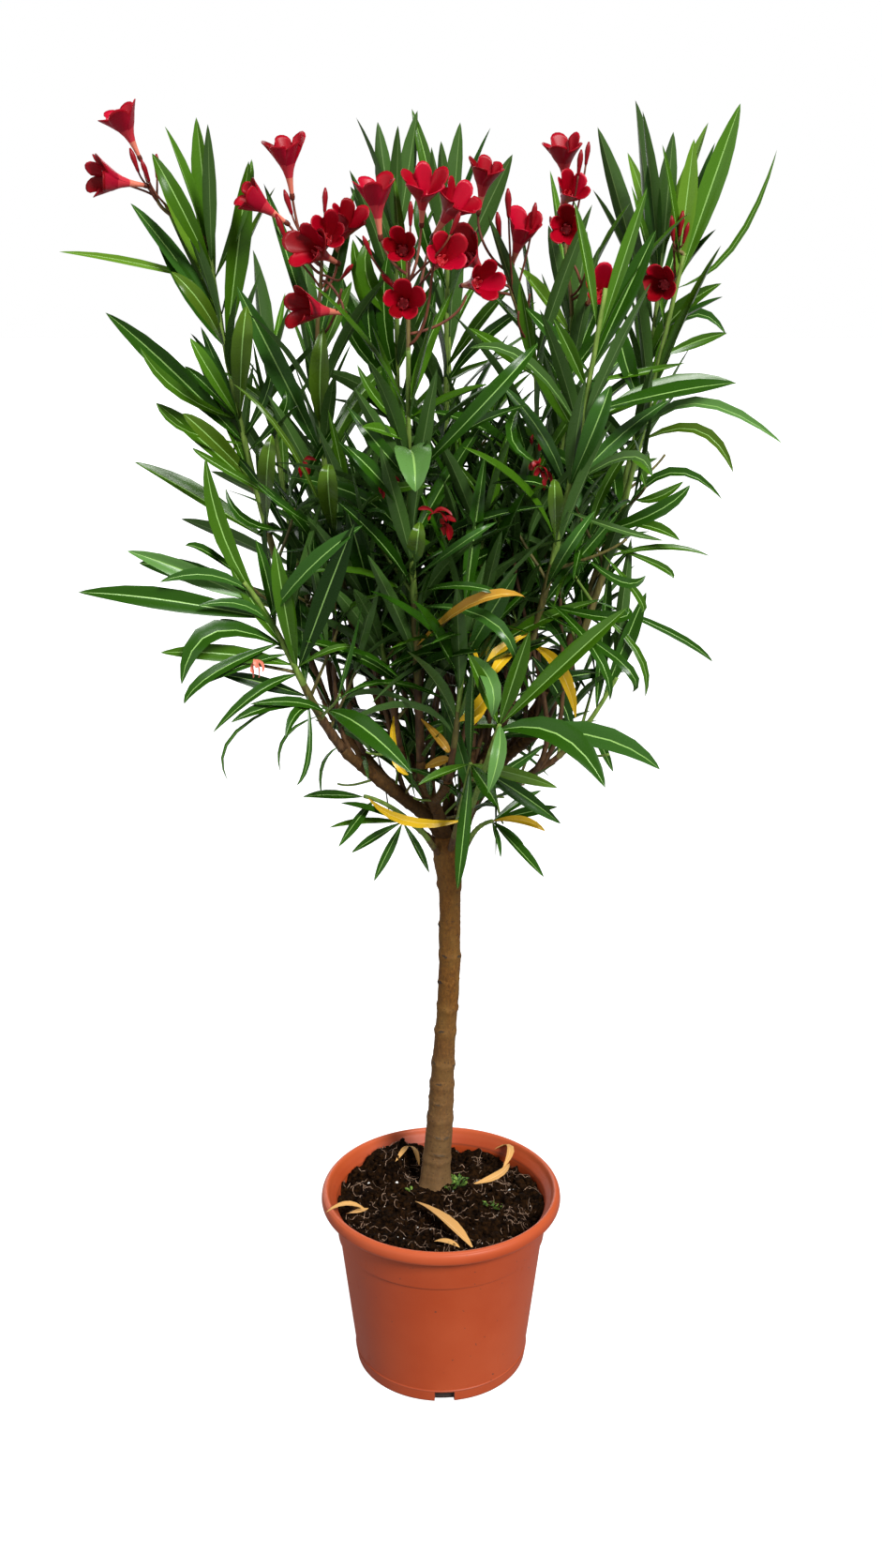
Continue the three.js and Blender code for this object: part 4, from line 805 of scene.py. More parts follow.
bough_bark = bark_look(
    "bough_bark", (0.028, 0.011, 0.002), (0.08, 0.034, 0.006), (0.16, 0.078, 0.02), (0.08, 0.044, 0.012),
)
limbs = {}
for seed, (name, parent, share, tip, way, radii) in enumerate(BOUGHS):
    tip = np.array(tip) * MM
    if parent == "trunk":
        start = trunk_line(BOUGH_LEAVES_AT)
        out = unit(tip - start)
        start = start + unit(out * [1, 1, 0]) * TRUNK_HEAD_RADIUS * BOUGH_ASIDE
        start_way = unit(trunk_line(1.0) - trunk_line(0.9999)) * 0.55 + out
    else:
        start = limbs[parent].line(share)
        start_way = limbs[parent].way(share) * 0.9 + unit(tip - start)
    limb = limbs[name] = Limb(start, start_way, tip, np.array(way), np.array(radii) * MM)
    shares = np.linspace(0, 1, BOUGH_STEPS)
    sway = [clods(shares[:, None] * [5.0, 0, 0] + [0, k, seed], 1.0, 61) for k in range(3)]
    path = limb.line(shares) + np.stack(sway, -1) * BOUGH_SWAY * (np.sin(np.pi * shares) ** 0.7)[:, None]
    skin = bark(path, limb.radius(shares), BOUGH_SIDES, 60 + seed, BOUGH_BARK_DEPTH)
    for k in range(BOUGH_RINGS):
        at = shares - (k + 0.3 + 0.5 * chance(seed, k, 62)) / BOUGH_RINGS
        skin += BOUGH_RING_RISE * np.exp(-((at * limb.length / BOUGH_RING_WIDTH) ** 2))[:, None]
    skin[-1] *= 0.8
    faces = shell_faces(BOUGH_STEPS, BOUGH_SIDES)
    piece = "bough_" + name
    add_piece(piece, tube(path, skin, BOUGH_SIDES), faces, [bough_bark], [piece])


# Shoots
# Twenty-five leafy shoots that go on from the boughs or spring from the trunk's head: brown and woody low
# down, then olive, then green. Fine twigs branch from them, and spurs and risers from the boughs.
LIMB_GAP = 0.3 * MM
SHOOT_FOOT_RADIUS = 4.6 * MM
SHOOT_TIP_RADIUS = 2.4 * MM
SHOOT_RISE = 0.6
SHOOT_SIDES = 10
SHOOT_STEPS = 44
SHOOT_NODES = 11
OLIVE_FROM, GREEN_FROM = 0.2, 0.4
TWIG_LENGTH = 70 * MM
TWIG_VARY = 50 * MM
TWIG_RADII = np.array([2.2, 1.5]) * MM
TWIG_SPREAD = np.radians(50)
TWIG_TURN = np.radians(130)
TWIG_LIFT = 0.3
TWIG_LOWEST = 0.08
TWIG_HIGHEST = 0.5
TWIG_SIDES = 6
TWIG_STEPS = 14
RISER_COUNT = 34
RISER_LENGTH = 250 * MM
RISER_ASIDE = 110 * MM
RISER_RADII = np.array([3.8, 1.9]) * MM
SPUR_COUNT = 40
SPUR_LENGTH = 48 * MM
SPUR_RADII = np.array([2.0, 1.3]) * MM
CROWN_AXIS = np.array([8, 18]) * MM
# Each shoot: what it grows on, where it leaves the trunk if it does, its tip and the way it points there,
# the share of it that is bare, its whorls, its twigs, and the turn of its first whorl.
SHOOTS = [
    ("tall_left", "left", None, (-253, -40, 1447), (-0.1, -0.03, 1), 0.12, 8, 2, 10),
    ("low_left", "low_left", None, (-214, -158, 1100), (-0.55, -0.25, 0.8), 0.1, 4, 2, 25),
    ("mid_left", "mid_left", None, (-134, -82, 1350), (0, -0.1, 1), 0.1, 7, 2, 40),
    ("front", "front", None, (-34, -152, 1346), (0.02, -0.05, 1), 0.05, 9, 2, 8),
    ("crown_left", "crown_left", None, (-52, 94, 1470), (0, 0, 1), 0.15, 7, 2, 50),
    ("crown_middle", "back_centre", None, (8, 76, 1452), (0.02, -0.02, 1), 0.15, 7, 2, 15),
    ("mid_right", "mid_right", None, (104, -42, 1330), (-0.1, -0.05, 1), 0.1, 6, 2, 35),
    ("front_right", "front_right", None, (170, -152, 1405), (0.15, -0.05, 1), 0.08, 8, 2, 20),
    ("flower_right", "flower_right", None, (148, 6, 1374), (0, 0, 1), 0.15, 6, 2, 55),
    ("right", "right", None, (248, 22, 1440), (0.02, 0, 1), 0.12, 7, 2, 0),
    ("far_right", "far_right", None, (264, -50, 1440), (0.2, 0, 0.98), 0.1, 8, 2, 30),
    ("low_right", "low_right", None, (206, -56, 968), (0.45, 0, 0.85), 0.15, 4, 1, 12),
    ("front_rosette", None, (20, 7, 736), (64, -196, 950), (0.2, -0.5, 0.8), 0.45, 2, 0, 8),
    ("centre_rosette", None, (11, 7, 728), (34, -126, 884), (0.1, -0.6, 0.75), 0.5, 2, 0, 48),
    ("left_tuft", None, (-1, 12, 722), (-46, -64, 792), (-0.6, -0.5, 0.3), 0.6, 1, 0, 0),
    ("left_fringe", None, (-4, 18, 734), (-92, -58, 822), (-0.7, -0.4, 0.3), 0.6, 1, 0, 0),
    ("right_tuft", None, (23, 11, 722), (62, -62, 792), (0.6, -0.5, 0.3), 0.6, 1, 0, 36),
    ("inner_left", "inner_left", None, (-84, -86, 1130), (-0.05, -0.1, 1), 0.04, 6, 1, 33),
    ("inner_right", "inner_right", None, (46, -96, 1150), (0.05, -0.1, 1), 0.04, 6, 1, 14),
    ("inner_front", "inner_front", None, (26, -148, 1080), (0, -0.1, 1), 0.1, 5, 0, 52),
    ("back_left", "back_left", None, (-160, 176, 1310), (-0.1, 0.1, 1), 0.08, 7, 2, 45),
    ("back", "back", None, (10, 226, 1340), (0, 0.12, 1), 0.08, 7, 2, 28),
    ("back_right", "back_right", None, (158, 186, 1320), (0.1, 0.1, 1), 0.08, 7, 2, 52),
    ("side_left", "side_left", None, (-206, 84, 1300), (-0.1, 0.05, 1), 0.1, 6, 2, 22),
    ("low_back", "low_back", None, (186, 148, 1000), (0.4, 0.3, 0.85), 0.12, 4, 1, 16),
]


def wood_look(name, colour, other):
    """Smooth young bark or green rind: two tones in upright streaks, with small pores."""
    look = Look(name)
    streak = look.noise(190, 4, 0.6, (1, 1, 0.25))
    tint = look.mix(colour, other, look.band(streak, 0.4, 0.66))
    normal = look.bump(streak + look.noise(800, 2) * 0.3, 0.4 * MM, 0.5)
    return look.done(tint, 0.5 + streak * 0.2, normal, Specular_IOR_Level=0.25)


def aside_of(limb, share, turn):
    """The direction square to a limb at a share of its length and a turn round it."""
    side, up = square_to(limb.way(share))
    return side * np.cos(turn) + up * np.sin(turn)


def inward_turn(limb, share):
    """The turn round a limb that points back to the crown's middle."""
    side, up = square_to(limb.way(share))
    inward = np.array([*CROWN_AXIS, limb.line(share)[2]]) - limb.line(share)
    return np.arctan2(inward @ up, inward @ side)


def add_limbs(name, grown, steps, sides, looks, kinds, swell=1.0):
    """One piece of many tapering limbs, from the look of each limb, or of each of its steps."""
    shares = np.linspace(0, 1, steps)
    reach = np.stack([limb.radius(shares) for limb in grown]) * swell
    tubes = tube(np.stack([limb.line(shares) for limb in grown]), reach[..., None], sides)
    kinds = np.broadcast_to(kinds, (len(grown), steps - 1))
    dealt = [np.repeat(part, sides) for part in (kinds, kinds[:, [0, -1]])]
    faces = repeat_faces(shell_faces(steps, sides), len(grown), tubes.shape[1])
    add_piece(name, tubes, faces, looks, (), np.concatenate(dealt))


rinds = [
    wood_look("brown_shoot", (0.045, 0.021, 0.008), (0.11, 0.055, 0.02)),
    wood_look("olive_shoot", (0.07, 0.06, 0.016), (0.14, 0.12, 0.03)),
    wood_look("green_shoot", (0.1, 0.17, 0.025), (0.19, 0.28, 0.05)),
]
shoots, twigs = {}, {}
for index, (name, parent, leave, tip, way, bare, whorls, twig_count, turn) in enumerate(SHOOTS):
    tip = np.array(tip) * MM
    if parent:
        start_way = limbs[parent].way(1.0)
        start = limbs[parent].line(1.0) + start_way * LIMB_GAP
        foot_radius = limbs[parent].radii[1]
    else:
        start = np.array(leave) * MM
        start_way = unit(tip - start) * [1, 1, 0] + UP * SHOOT_RISE
        foot_radius = SHOOT_FOOT_RADIUS
    shoot = shoots[name] = Limb(start, start_way, tip, np.array(way), (foot_radius, SHOOT_TIP_RADIUS))
    twigs[name] = []
    count = twig_count + 2 if twig_count else 0
    for k in range(count):
        low = TWIG_LOWEST + (TWIG_HIGHEST - TWIG_LOWEST) * (k + chance(index, k, 8)) / count
        turn = inward_turn(shoot, low) + (2.4 if k % 2 else 1.0) * TWIG_TURN * (chance(index, k, 9) - 0.5)
        out = shoot.way(low) * np.cos(TWIG_SPREAD) + aside_of(shoot, low, turn) * np.sin(TWIG_SPREAD)
        foot = shoot.line(low)
        end = foot + out * (TWIG_LENGTH + TWIG_VARY * chance(index, k, 10)) * (1 - 0.3 * low)
        twigs[name].append((turn, Limb(foot, out, end, out + UP * TWIG_LIFT, TWIG_RADII)))

risers, spurs = [], []
for k in range(RISER_COUNT):
    bough = limbs[BOUGHS[k % len(BOUGHS)][0]]
    low = 0.15 + 0.7 * chance(k, 73, 0)
    foot = bough.line(low)
    aside = (chance(k, 74, np.arange(2)) - 0.5) * RISER_ASIDE
    end = foot + np.array([*aside, RISER_LENGTH * (0.7 + 0.6 * chance(k, 75, 0))])
    start_way = bough.way(low) + np.array([*aside * 4, 0.2])
    risers.append(Limb(foot, start_way, end, np.array([*aside * 2, 1.0]), RISER_RADII))
for k in range(SPUR_COUNT):
    bough = limbs[BOUGHS[k % len(BOUGHS)][0]]
    low = 0.12 + 0.75 * chance(k, 76, 0)
    foot = bough.line(low)
    out = aside_of(bough, low, 2 * np.pi * chance(k, 77, 0)) + bough.way(low) * 0.5
    end = foot + unit(out) * SPUR_LENGTH * (0.5 + chance(k, 78, 0))
    spurs.append(Limb(foot, out, end, out + UP * 0.5, SPUR_RADII))
all_twigs = [twig for named in twigs.values() for _, twig in named] + spurs + risers

shoot_shares = np.linspace(0, 1, SHOOT_STEPS)
shoot_index = np.arange(len(shoots))[:, None]
node_rings = np.abs((shoot_shares * SHOOT_NODES + chance(shoot_index, 71, 0)) % 1 - 0.5) * 2
shoot_kinds = np.digitize(shoot_shares[:-1], [OLIVE_FROM, GREEN_FROM])
add_limbs(
    "leafy_shoots", shoots.values(), SHOOT_STEPS, SHOOT_SIDES, rinds, shoot_kinds, 1 + 0.18 * node_rings**8,
)
twig_kinds = 1 + (chance(np.arange(len(all_twigs)), 72, 0) > 0.5)
twig_kinds[-RISER_COUNT:] = 0
add_limbs("fine_twigs", all_twigs, TWIG_STEPS, TWIG_SIDES, rinds, twig_kinds[:, None])


# Flower stalks
# Olive stalks that go on from the shoots' tips and fork into thin red-brown ones, which carry the flowers
# and buds. Each is given by its shoot, where it ends, and its flowers: the middle of each mouth and the way
# that it faces. A bud and a bare stalk are given by their shoot and their tip.
STALK_RADII = np.array([2.5, 1.9]) * MM
PEDICEL_RADII = np.array([1.7, 1.3]) * MM
STALK_SIDES = 8
STALK_STEPS = 16
BLOOM_LENGTH = 46 * MM
BLOOM_SUNK = 4 * MM
BUD_LENGTH = 26 * MM
STALKS = [
    ("tall_left", (-306, -50, 1500), [
        (-336, -60, 1573, -0.35, -0.3, 0.9), (-353, -80, 1513, -0.8, -0.5, 0.1),
    ]),
    ("mid_left", (-126, -102, 1436), [
        (-117, -126, 1458, 0.2, -0.85, 0.45), (-162, -90, 1539, -0.1, -0.3, 0.95),
        (-196, -100, 1493, -0.7, -0.4, 0.5), (-139, -142, 1384, -0.75, -0.6, 0.1),
        (-101, -90, 1470, 0.3, -0.6, 0.7), (-134, -130, 1444, -0.5, -0.8, 0.3),
    ]),
    ("front", (-34, -158, 1420), [
        (-67, -150, 1498, -0.1, -0.3, 0.95), (-18, -152, 1503, 0.05, -0.6, 0.8),
        (-40, -196, 1444, -0.1, -0.95, 0.2), (4, -182, 1436, 0.3, -0.85, 0.3),
        (-38, -206, 1392, 0, -0.95, 0.1), (16, -130, 1490, 0.5, -0.5, 0.7),
    ]),
    ("mid_right", (72, -62, 1424), [
        (47, -60, 1520, 0.15, -0.4, 0.9), (86, -84, 1462, 0.2, -0.6, 0.75),
        (26, -100, 1440, -0.5, -0.7, 0.5), (43, -90, 1411, 0.4, -0.8, 0.1),
    ]),
    ("flower_right", (138, -2, 1454), [
        (135, 10, 1546, -0.1, -0.35, 0.9), (140, -26, 1505, 0.2, -0.8, 0.5),
        (136, -34, 1466, -0.1, -0.9, 0.1), (173, -60, 1401, 0.2, -0.9, 0.3),
    ]),
    ("far_right", (252, -52, 1446), [(238, -62, 1408, -0.4, -0.85, 0.1)]),
]
BUD_TIPS = [
    ("tall_left", (-372, -62, 1543)), ("tall_left", (-330, -58, 1546)), ("tall_left", (-318, -66, 1536)),
    ("tall_left", (-300, -70, 1540)), ("mid_left", (-162, -120, 1502)), ("mid_left", (-172, -110, 1478)),
    ("mid_left", (-90, -140, 1430)), ("mid_left", (-120, -110, 1505)), ("front", (-30, -190, 1490)),
    ("front", (-80, -190, 1460)), ("front", (20, -190, 1480)), ("front", (-60, -200, 1420)),
    ("mid_right", (70, -100, 1500)), ("mid_right", (100, -80, 1490)), ("mid_right", (60, -70, 1480)),
    ("flower_right", (151, -30, 1545)), ("flower_right", (160, -20, 1556)),
    ("flower_right", (118, -30, 1480)), ("far_right", (259, -60, 1482)), ("far_right", (266, -64, 1474)),
    ("far_right", (246, -70, 1476)),
]
BARE_TIPS = [
    ("front", (26, -150, 1398)), ("front", (-6, -168, 1440)), ("mid_right", (96, -70, 1398)),
    ("mid_right", (84, -76, 1380)), ("flower_right", (160, -20, 1420)), ("flower_right", (172, -24, 1436)),
    ("mid_left", (-104, -130, 1404)),
]

stalks, pedicels, mouths, axes, bud_feet, bud_ways = {}, [], [], [], [], []
for name, end, blooms in STALKS:
    shoot = shoots[name]
    foot = shoot.line(1.0) - shoot.way(1.0) * 3 * MM
    stalk = stalks[name] = Limb(foot, shoot.way(1.0), np.array(end) * MM, UP, STALK_RADII)
    for k, (x, y, z, *facing) in enumerate(blooms):
        facing, mouth = unit(np.array(facing)), np.array([x, y, z]) * MM
        foot = mouth + facing * (BLOOM_SUNK - BLOOM_LENGTH)
        start = stalk.line(0.98 - 0.43 * min(k, 5) / 5)
        start_way = (foot - start) * [1, 1, 0] + UP * 12 * MM
        pedicels.append(Limb(start, start_way, foot, facing, PEDICEL_RADII))
        mouths.append(mouth)
        axes.append(facing)
for k, (name, tip) in enumerate(BUD_TIPS):
    start = stalks[name].line(0.6 + 0.38 * chance(k, 91, 0))
    way = unit(unit(np.array(tip) * MM - start) + UP * 0.5)
    foot = np.array(tip) * MM - way * BUD_LENGTH
    pedicels.append(Limb(start, foot - start + UP * 10 * MM, foot, way, PEDICEL_RADII * 0.8))
    bud_feet.append(foot)
    bud_ways.append(way)
for k, (name, tip) in enumerate(BARE_TIPS):
    start = stalks[name].line(0.05 + 0.3 * chance(k, 97, 0))
    tip = np.array(tip) * MM
    pedicels.append(Limb(start, (tip - start) * [1, 1, 0.2], tip, np.array([0.2, -0.2, 1.0]), PEDICEL_RADII))
stalk_looks = [
    wood_look("red_stalk", (0.09, 0.022, 0.013), (0.17, 0.05, 0.022)),
    wood_look("green_stalk", (0.11, 0.075, 0.025), (0.17, 0.13, 0.04)),
]
all_stalks = [*stalks.values(), *pedicels]
stalk_kinds = (np.arange(len(all_stalks)) < len(stalks))[:, None]
add_limbs("flower_stalks", all_stalks, STALK_STEPS, STALK_SIDES, stalk_looks, stalk_kinds)


# Flowers
# Single red oleander flowers: a pale pink tube that widens into a funnel, five broad overlapping petals of
# crimson velvet, a frilled pink throat, and a small red-brown calyx where the flower sits on its stalk.
# Each profile is rows of radius and height along the flower's axis, in millimetres.
COROLLA = [
    (1.3, -46), (1.9, -44), (2.3, -38), (2.9, -31), (3.9, -24), (5.8, -17), (8.7, -10.5), (12.6, -4.6),
    (16.9, 1.4), (20.7, 6.6), (22.8, 9.4), (22.3, 10.1), (20.0, 7.4), (16.1, 2.2), (11.7, -3.6),
    (7.8, -9.5), (5.0, -16), (3.2, -23),
]
COROLLA_TUBE, COROLLA_FLARE = 3.5, 21
PETALS = 5
PETAL_COLUMNS = np.array([0, 0.015, 0.12, 0.27, 0.42, 0.58, 0.73, 0.88, 0.985])
PETAL_NOTCH = 0.27
PETAL_OVERLAP = 4.0
PETAL_WAVE = 6.5
PETAL_SWIRL = 0.35
PETAL_ROUGHNESS = 0.36
BLOOM_SHUT = 0.2
SHUT_RISE = 20
CALYX = [(0.9, -47.5), (2.3, -46), (2.9, -43), (2.5, -40), (1.2, -38)]
BUD = [(1.1, 0), (1.8, 2), (2.1, 6), (2.7, 11), (3.2, 16), (2.6, 21), (0.9, 26)]
TURNED_SIDES = 10
FRILL_OUTLINE = np.array([0.3, 0.36, 0.5, 0.72, 0.92, 1.0, 0.94, 0.72, 0.42])
PETAL_COLOURS = {
    "petal_deep": (0.18, 0.0, 0.003), "petal_crimson": (0.285, 0.0, 0.008),
    "petal_bright": (0.39, 0.001, 0.018), "petal_back": (0.31, 0.003, 0.018),
    "throat": (0.78, 0.13, 0.16), "flower_tube": (0.62, 0.17, 0.11), "calyx": (0.1, 0.018, 0.009),
    "bud_skin": (0.2, 0.002, 0.006), "petal_blush": (0.46, 0.026, 0.04),
}
BACK, THROAT, TUBE, SEPAL, BUD_SKIN, BLUSH = range(3, 9)


def velvet_look(name, colour):
    """A plain petal colour with a soft sheen and a fine grain."""
    look = Look(name)
    grain = look.noise(700, 3)
    normal = look.bump(grain, 0.25 * MM, 0.4)
    return look.done(colour, PETAL_ROUGHNESS + grain * 0.1, normal, Specular_IOR_Level=0.2)


def add_turned(name, profile, look, feet, ways, size):
    """Adds closed solids of revolution: foot + size x (radius (side cos a + up sin a) + height x way)."""
    radius, height = np.transpose(profile) * MM
    ring = ring_of(ways, turns(TURNED_SIDES))
    skin = radius[:, None, None] * ring[:, None] + height[:, None, None] * ways[:, None, None]
    ends = ways[:, None] * height[[0, -1], None]
    solids = np.concatenate([skin.reshape(len(feet), -1, 3), ends], axis=1)
    faces = repeat_faces(shell_faces(len(profile), TURNED_SIDES), len(feet), solids.shape[1])
    add_piece(name, np.array(feet)[:, None] + size[:, None, None] * solids, faces, [look])


mouths, axes = np.array(mouths), np.array(axes)
bloom_index = np.arange(len(mouths))
bloom_size = 0.96 + 0.16 * chance(bloom_index, 92, 0)
petal, across = np.arange(PETALS).repeat(len(PETAL_COLUMNS)), np.tile(PETAL_COLUMNS, PETALS)


def corollas():
    """Closed five-petalled funnels. A column lies at a share u across its petal. Its radius is the
    profile's x (1 - notch f^2 |2u-1|^3), its height is raised by overlap f (u - 1/2) and by
    wave f^2 (1 - (2u-1)^2), and it swirls by f, which is 0 on the tube and 1 at the rim. A shut flower
    is narrower and taller by f."""
    radius, height = np.transpose(COROLLA)[..., None]
    flare = np.clip((radius - COROLLA_TUBE) / (COROLLA_FLARE - COROLLA_TUBE), 0, 1)
    seed, size = bloom_index[:, None, None], bloom_size[:, None, None] * MM
    shut = BLOOM_SHUT * chance(seed, 108, 0) ** 1.5 * flare
    opening = (1 - shut) * (1 + 0.38 * flare * (chance(seed, petal, 95) - 0.5))
    reach = radius * opening * (1 - PETAL_NOTCH * flare**2 * np.abs(2 * across - 1) ** 3)
    crown = (1 - (2 * across - 1) ** 2) * (0.4 + 1.1 * chance(seed, petal, 96)) - 0.6
    high = height + shut * SHUT_RISE + PETAL_OVERLAP * flare * (across - 0.5) + PETAL_WAVE * flare**2 * crown
    turn = 2 * np.pi * ((petal + across) / PETALS + chance(seed, 94, 0)) + PETAL_SWIRL * flare
    out, along = ring_of(axes[:, None], turn), axes[:, None, None]
    skin = mouths[:, None, None] + out * (reach * size)[..., None] + along * (high * size)[..., None]
    ends = mouths[:, None] + axes[:, None] * (height[[0, -1]] * size)
    return np.concatenate([skin.reshape(len(mouths), -1, 3), ends], axis=1)


petal_looks = [velvet_look(name, colour) for name, colour in PETAL_COLOURS.items()]
petals = corollas()
petal_faces = repeat_faces(shell_faces(len(COROLLA), len(petal)), len(mouths), petals.shape[1])
kind = (chance(bloom_index[:, None], petal, 98) * 3).astype(int)
kind = np.where(chance(bloom_index, 99, 0)[:, None] > 0.5, np.maximum(kind, 1), np.minimum(kind, 1))
steps = np.arange(len(COROLLA) - 1)[:, None]
outer = np.where(steps < 4, TUBE, np.where(steps < 6, BLUSH, BACK))
corolla_looks = np.where(steps < 9, outer, np.where(steps > 15, THROAT, kind[:, None]))
end_looks = np.tile(np.repeat([TUBE, THROAT], len(petal)), len(mouths))
petal_kinds = np.concatenate([corolla_looks.ravel(), end_looks])
add_piece("flower_petals", petals, petal_faces, petal_looks, (), petal_kinds)
add_turned("flower_calyxes", CALYX, petal_looks[SEPAL], mouths, axes, bloom_size)
bud_size = 0.8 + 0.35 * chance(np.arange(len(bud_feet)), 93, 0)
add_turned("flower_buds", BUD, petal_looks[BUD_SKIN], bud_feet, np.array(bud_ways), bud_size)

petal_turn = 2 * np.pi * (np.arange(PETALS) / PETALS + chance(bloom_index[:, None], 94, 0))
outward = ring_of(axes, petal_turn)


def on_flower(radius, height):
    """A place before each petal of each flower, from its distance off the axis and along it."""
    return (mouths[:, None] + (outward * radius + axes[:, None] * height) * MM).reshape(-1, 3)


frill_facing = unit(axes[:, None] * 0.8 - outward).reshape(-1, 3)
frills = blades(
    on_flower(3.8, -20), on_flower(5.6, -11), on_flower(4.4, -5), frill_facing, 3.4 * MM, FRILL_OUTLINE,
    0.3, 0.0, 0.3 * MM, 0.3,
)
add_blades("flower_throats", frills, petal_looks, THROAT)


# Spent flowers
# A few faded flowers that have dropped and caught on the leaves, shrunk to dark crumpled petals.
SPENT = np.array([
    (101, -96, 1251), (109, -110, 1212), (103, -160, 1225), (-8, -196, 1180), (0, -190, 1168),
    (-57, -150, 1209), (-151, -110, 1222), (-204, -165, 1015),
]) * MM
SPENT_PETALS = 4

number = np.arange(len(SPENT) * SPENT_PETALS)
spent_root = np.repeat(SPENT, SPENT_PETALS, axis=0)
spent_way = unit(chance(number[:, None], 101, np.arange(3)) - np.array([0.5, 0.7, 0.9]))
spent_reach = (9 + 14 * chance(number, 102, 0))[:, None] * MM
spent_middle = spent_root + unit(spent_way + UP * 0.6) * spent_reach * 0.5
spent_facing = unit(chance(number[:, None], 103, np.arange(3)) - np.array([0.5, 1.0, 0.2]))
spent_points = blades(
    spent_root, spent_middle, spent_root + spent_way * spent_reach, spent_facing,
    (3.5 + 4.5 * chance(number, 105, 0)) * MM, FRILL_OUTLINE, 0.3 + 0.5 * chance(number, 106, 0),
    2 * (chance(number, 107, 0) - 0.5), 0.4 * MM, 0.2,
)
spent_kinds = np.where(chance(number // SPENT_PETALS, 104, 0) > 0.4, 0, BUD_SKIN)
spent_kinds[-SPENT_PETALS:] = TUBE
add_blades("spent_flowers", spent_points, petal_looks, spent_kinds)


# Leaves
# Long leathery leaves in whorls of three, glossy and dark above with a pale midrib, and paler below. The
# newest ones at the shoots' tips are a fresher green, and a few old ones have turned yellow. Each side of
# the crown is one piece, which stands for the foliage of its shoots.
LEAF_LENGTH = 152 * MM
LEAF_WIDTH = 17 * MM
LEAF_THICKNESS = 0.9 * MM
LEAF_STAGGER = 5 * MM
LEAF_WIDEST = 0.42
LEAF_ROLL = np.radians(150)
LEAF_DROOP = 0.55
LEAF_ARCH = 0.02
LEAF_ROUGHNESS = 0.27
REACH_WIDTH = 25 * MM
LOW_SPREAD, TIP_SPREAD, SPREAD_VARY = 74, 19, 16
TURN_VARY = np.radians(34)
FLOWER_CLEAR = 21 * MM
FLOWER_VIEWS = [(axes, 70 * MM), (np.array([0, -1.0, 0.1]), 160 * MM)]
CROWN_DEPTH = 0.92
SHADED_BELOW = 1.02
TWIG_LEVELS, TWIG_LEAF = [(0.97, 36), (0.6, 56)], 0.66
RISER_LEVELS, RISER_LEAF = [(0.98, 26), (0.82, 44)], 0.68
SPUR_LEVELS, SPUR_LEAF = [(0.97, 44), (0.55, 66)], 0.5
BEHIND_LEAF = 0.55
CROWN_OUTLINE = np.array([
    (720, 110), (800, 150), (870, 175), (950, 215), (1050, 245), (1200, 265), (1350, 300), (1450, 320),
    (1600, 320),
]) * MM
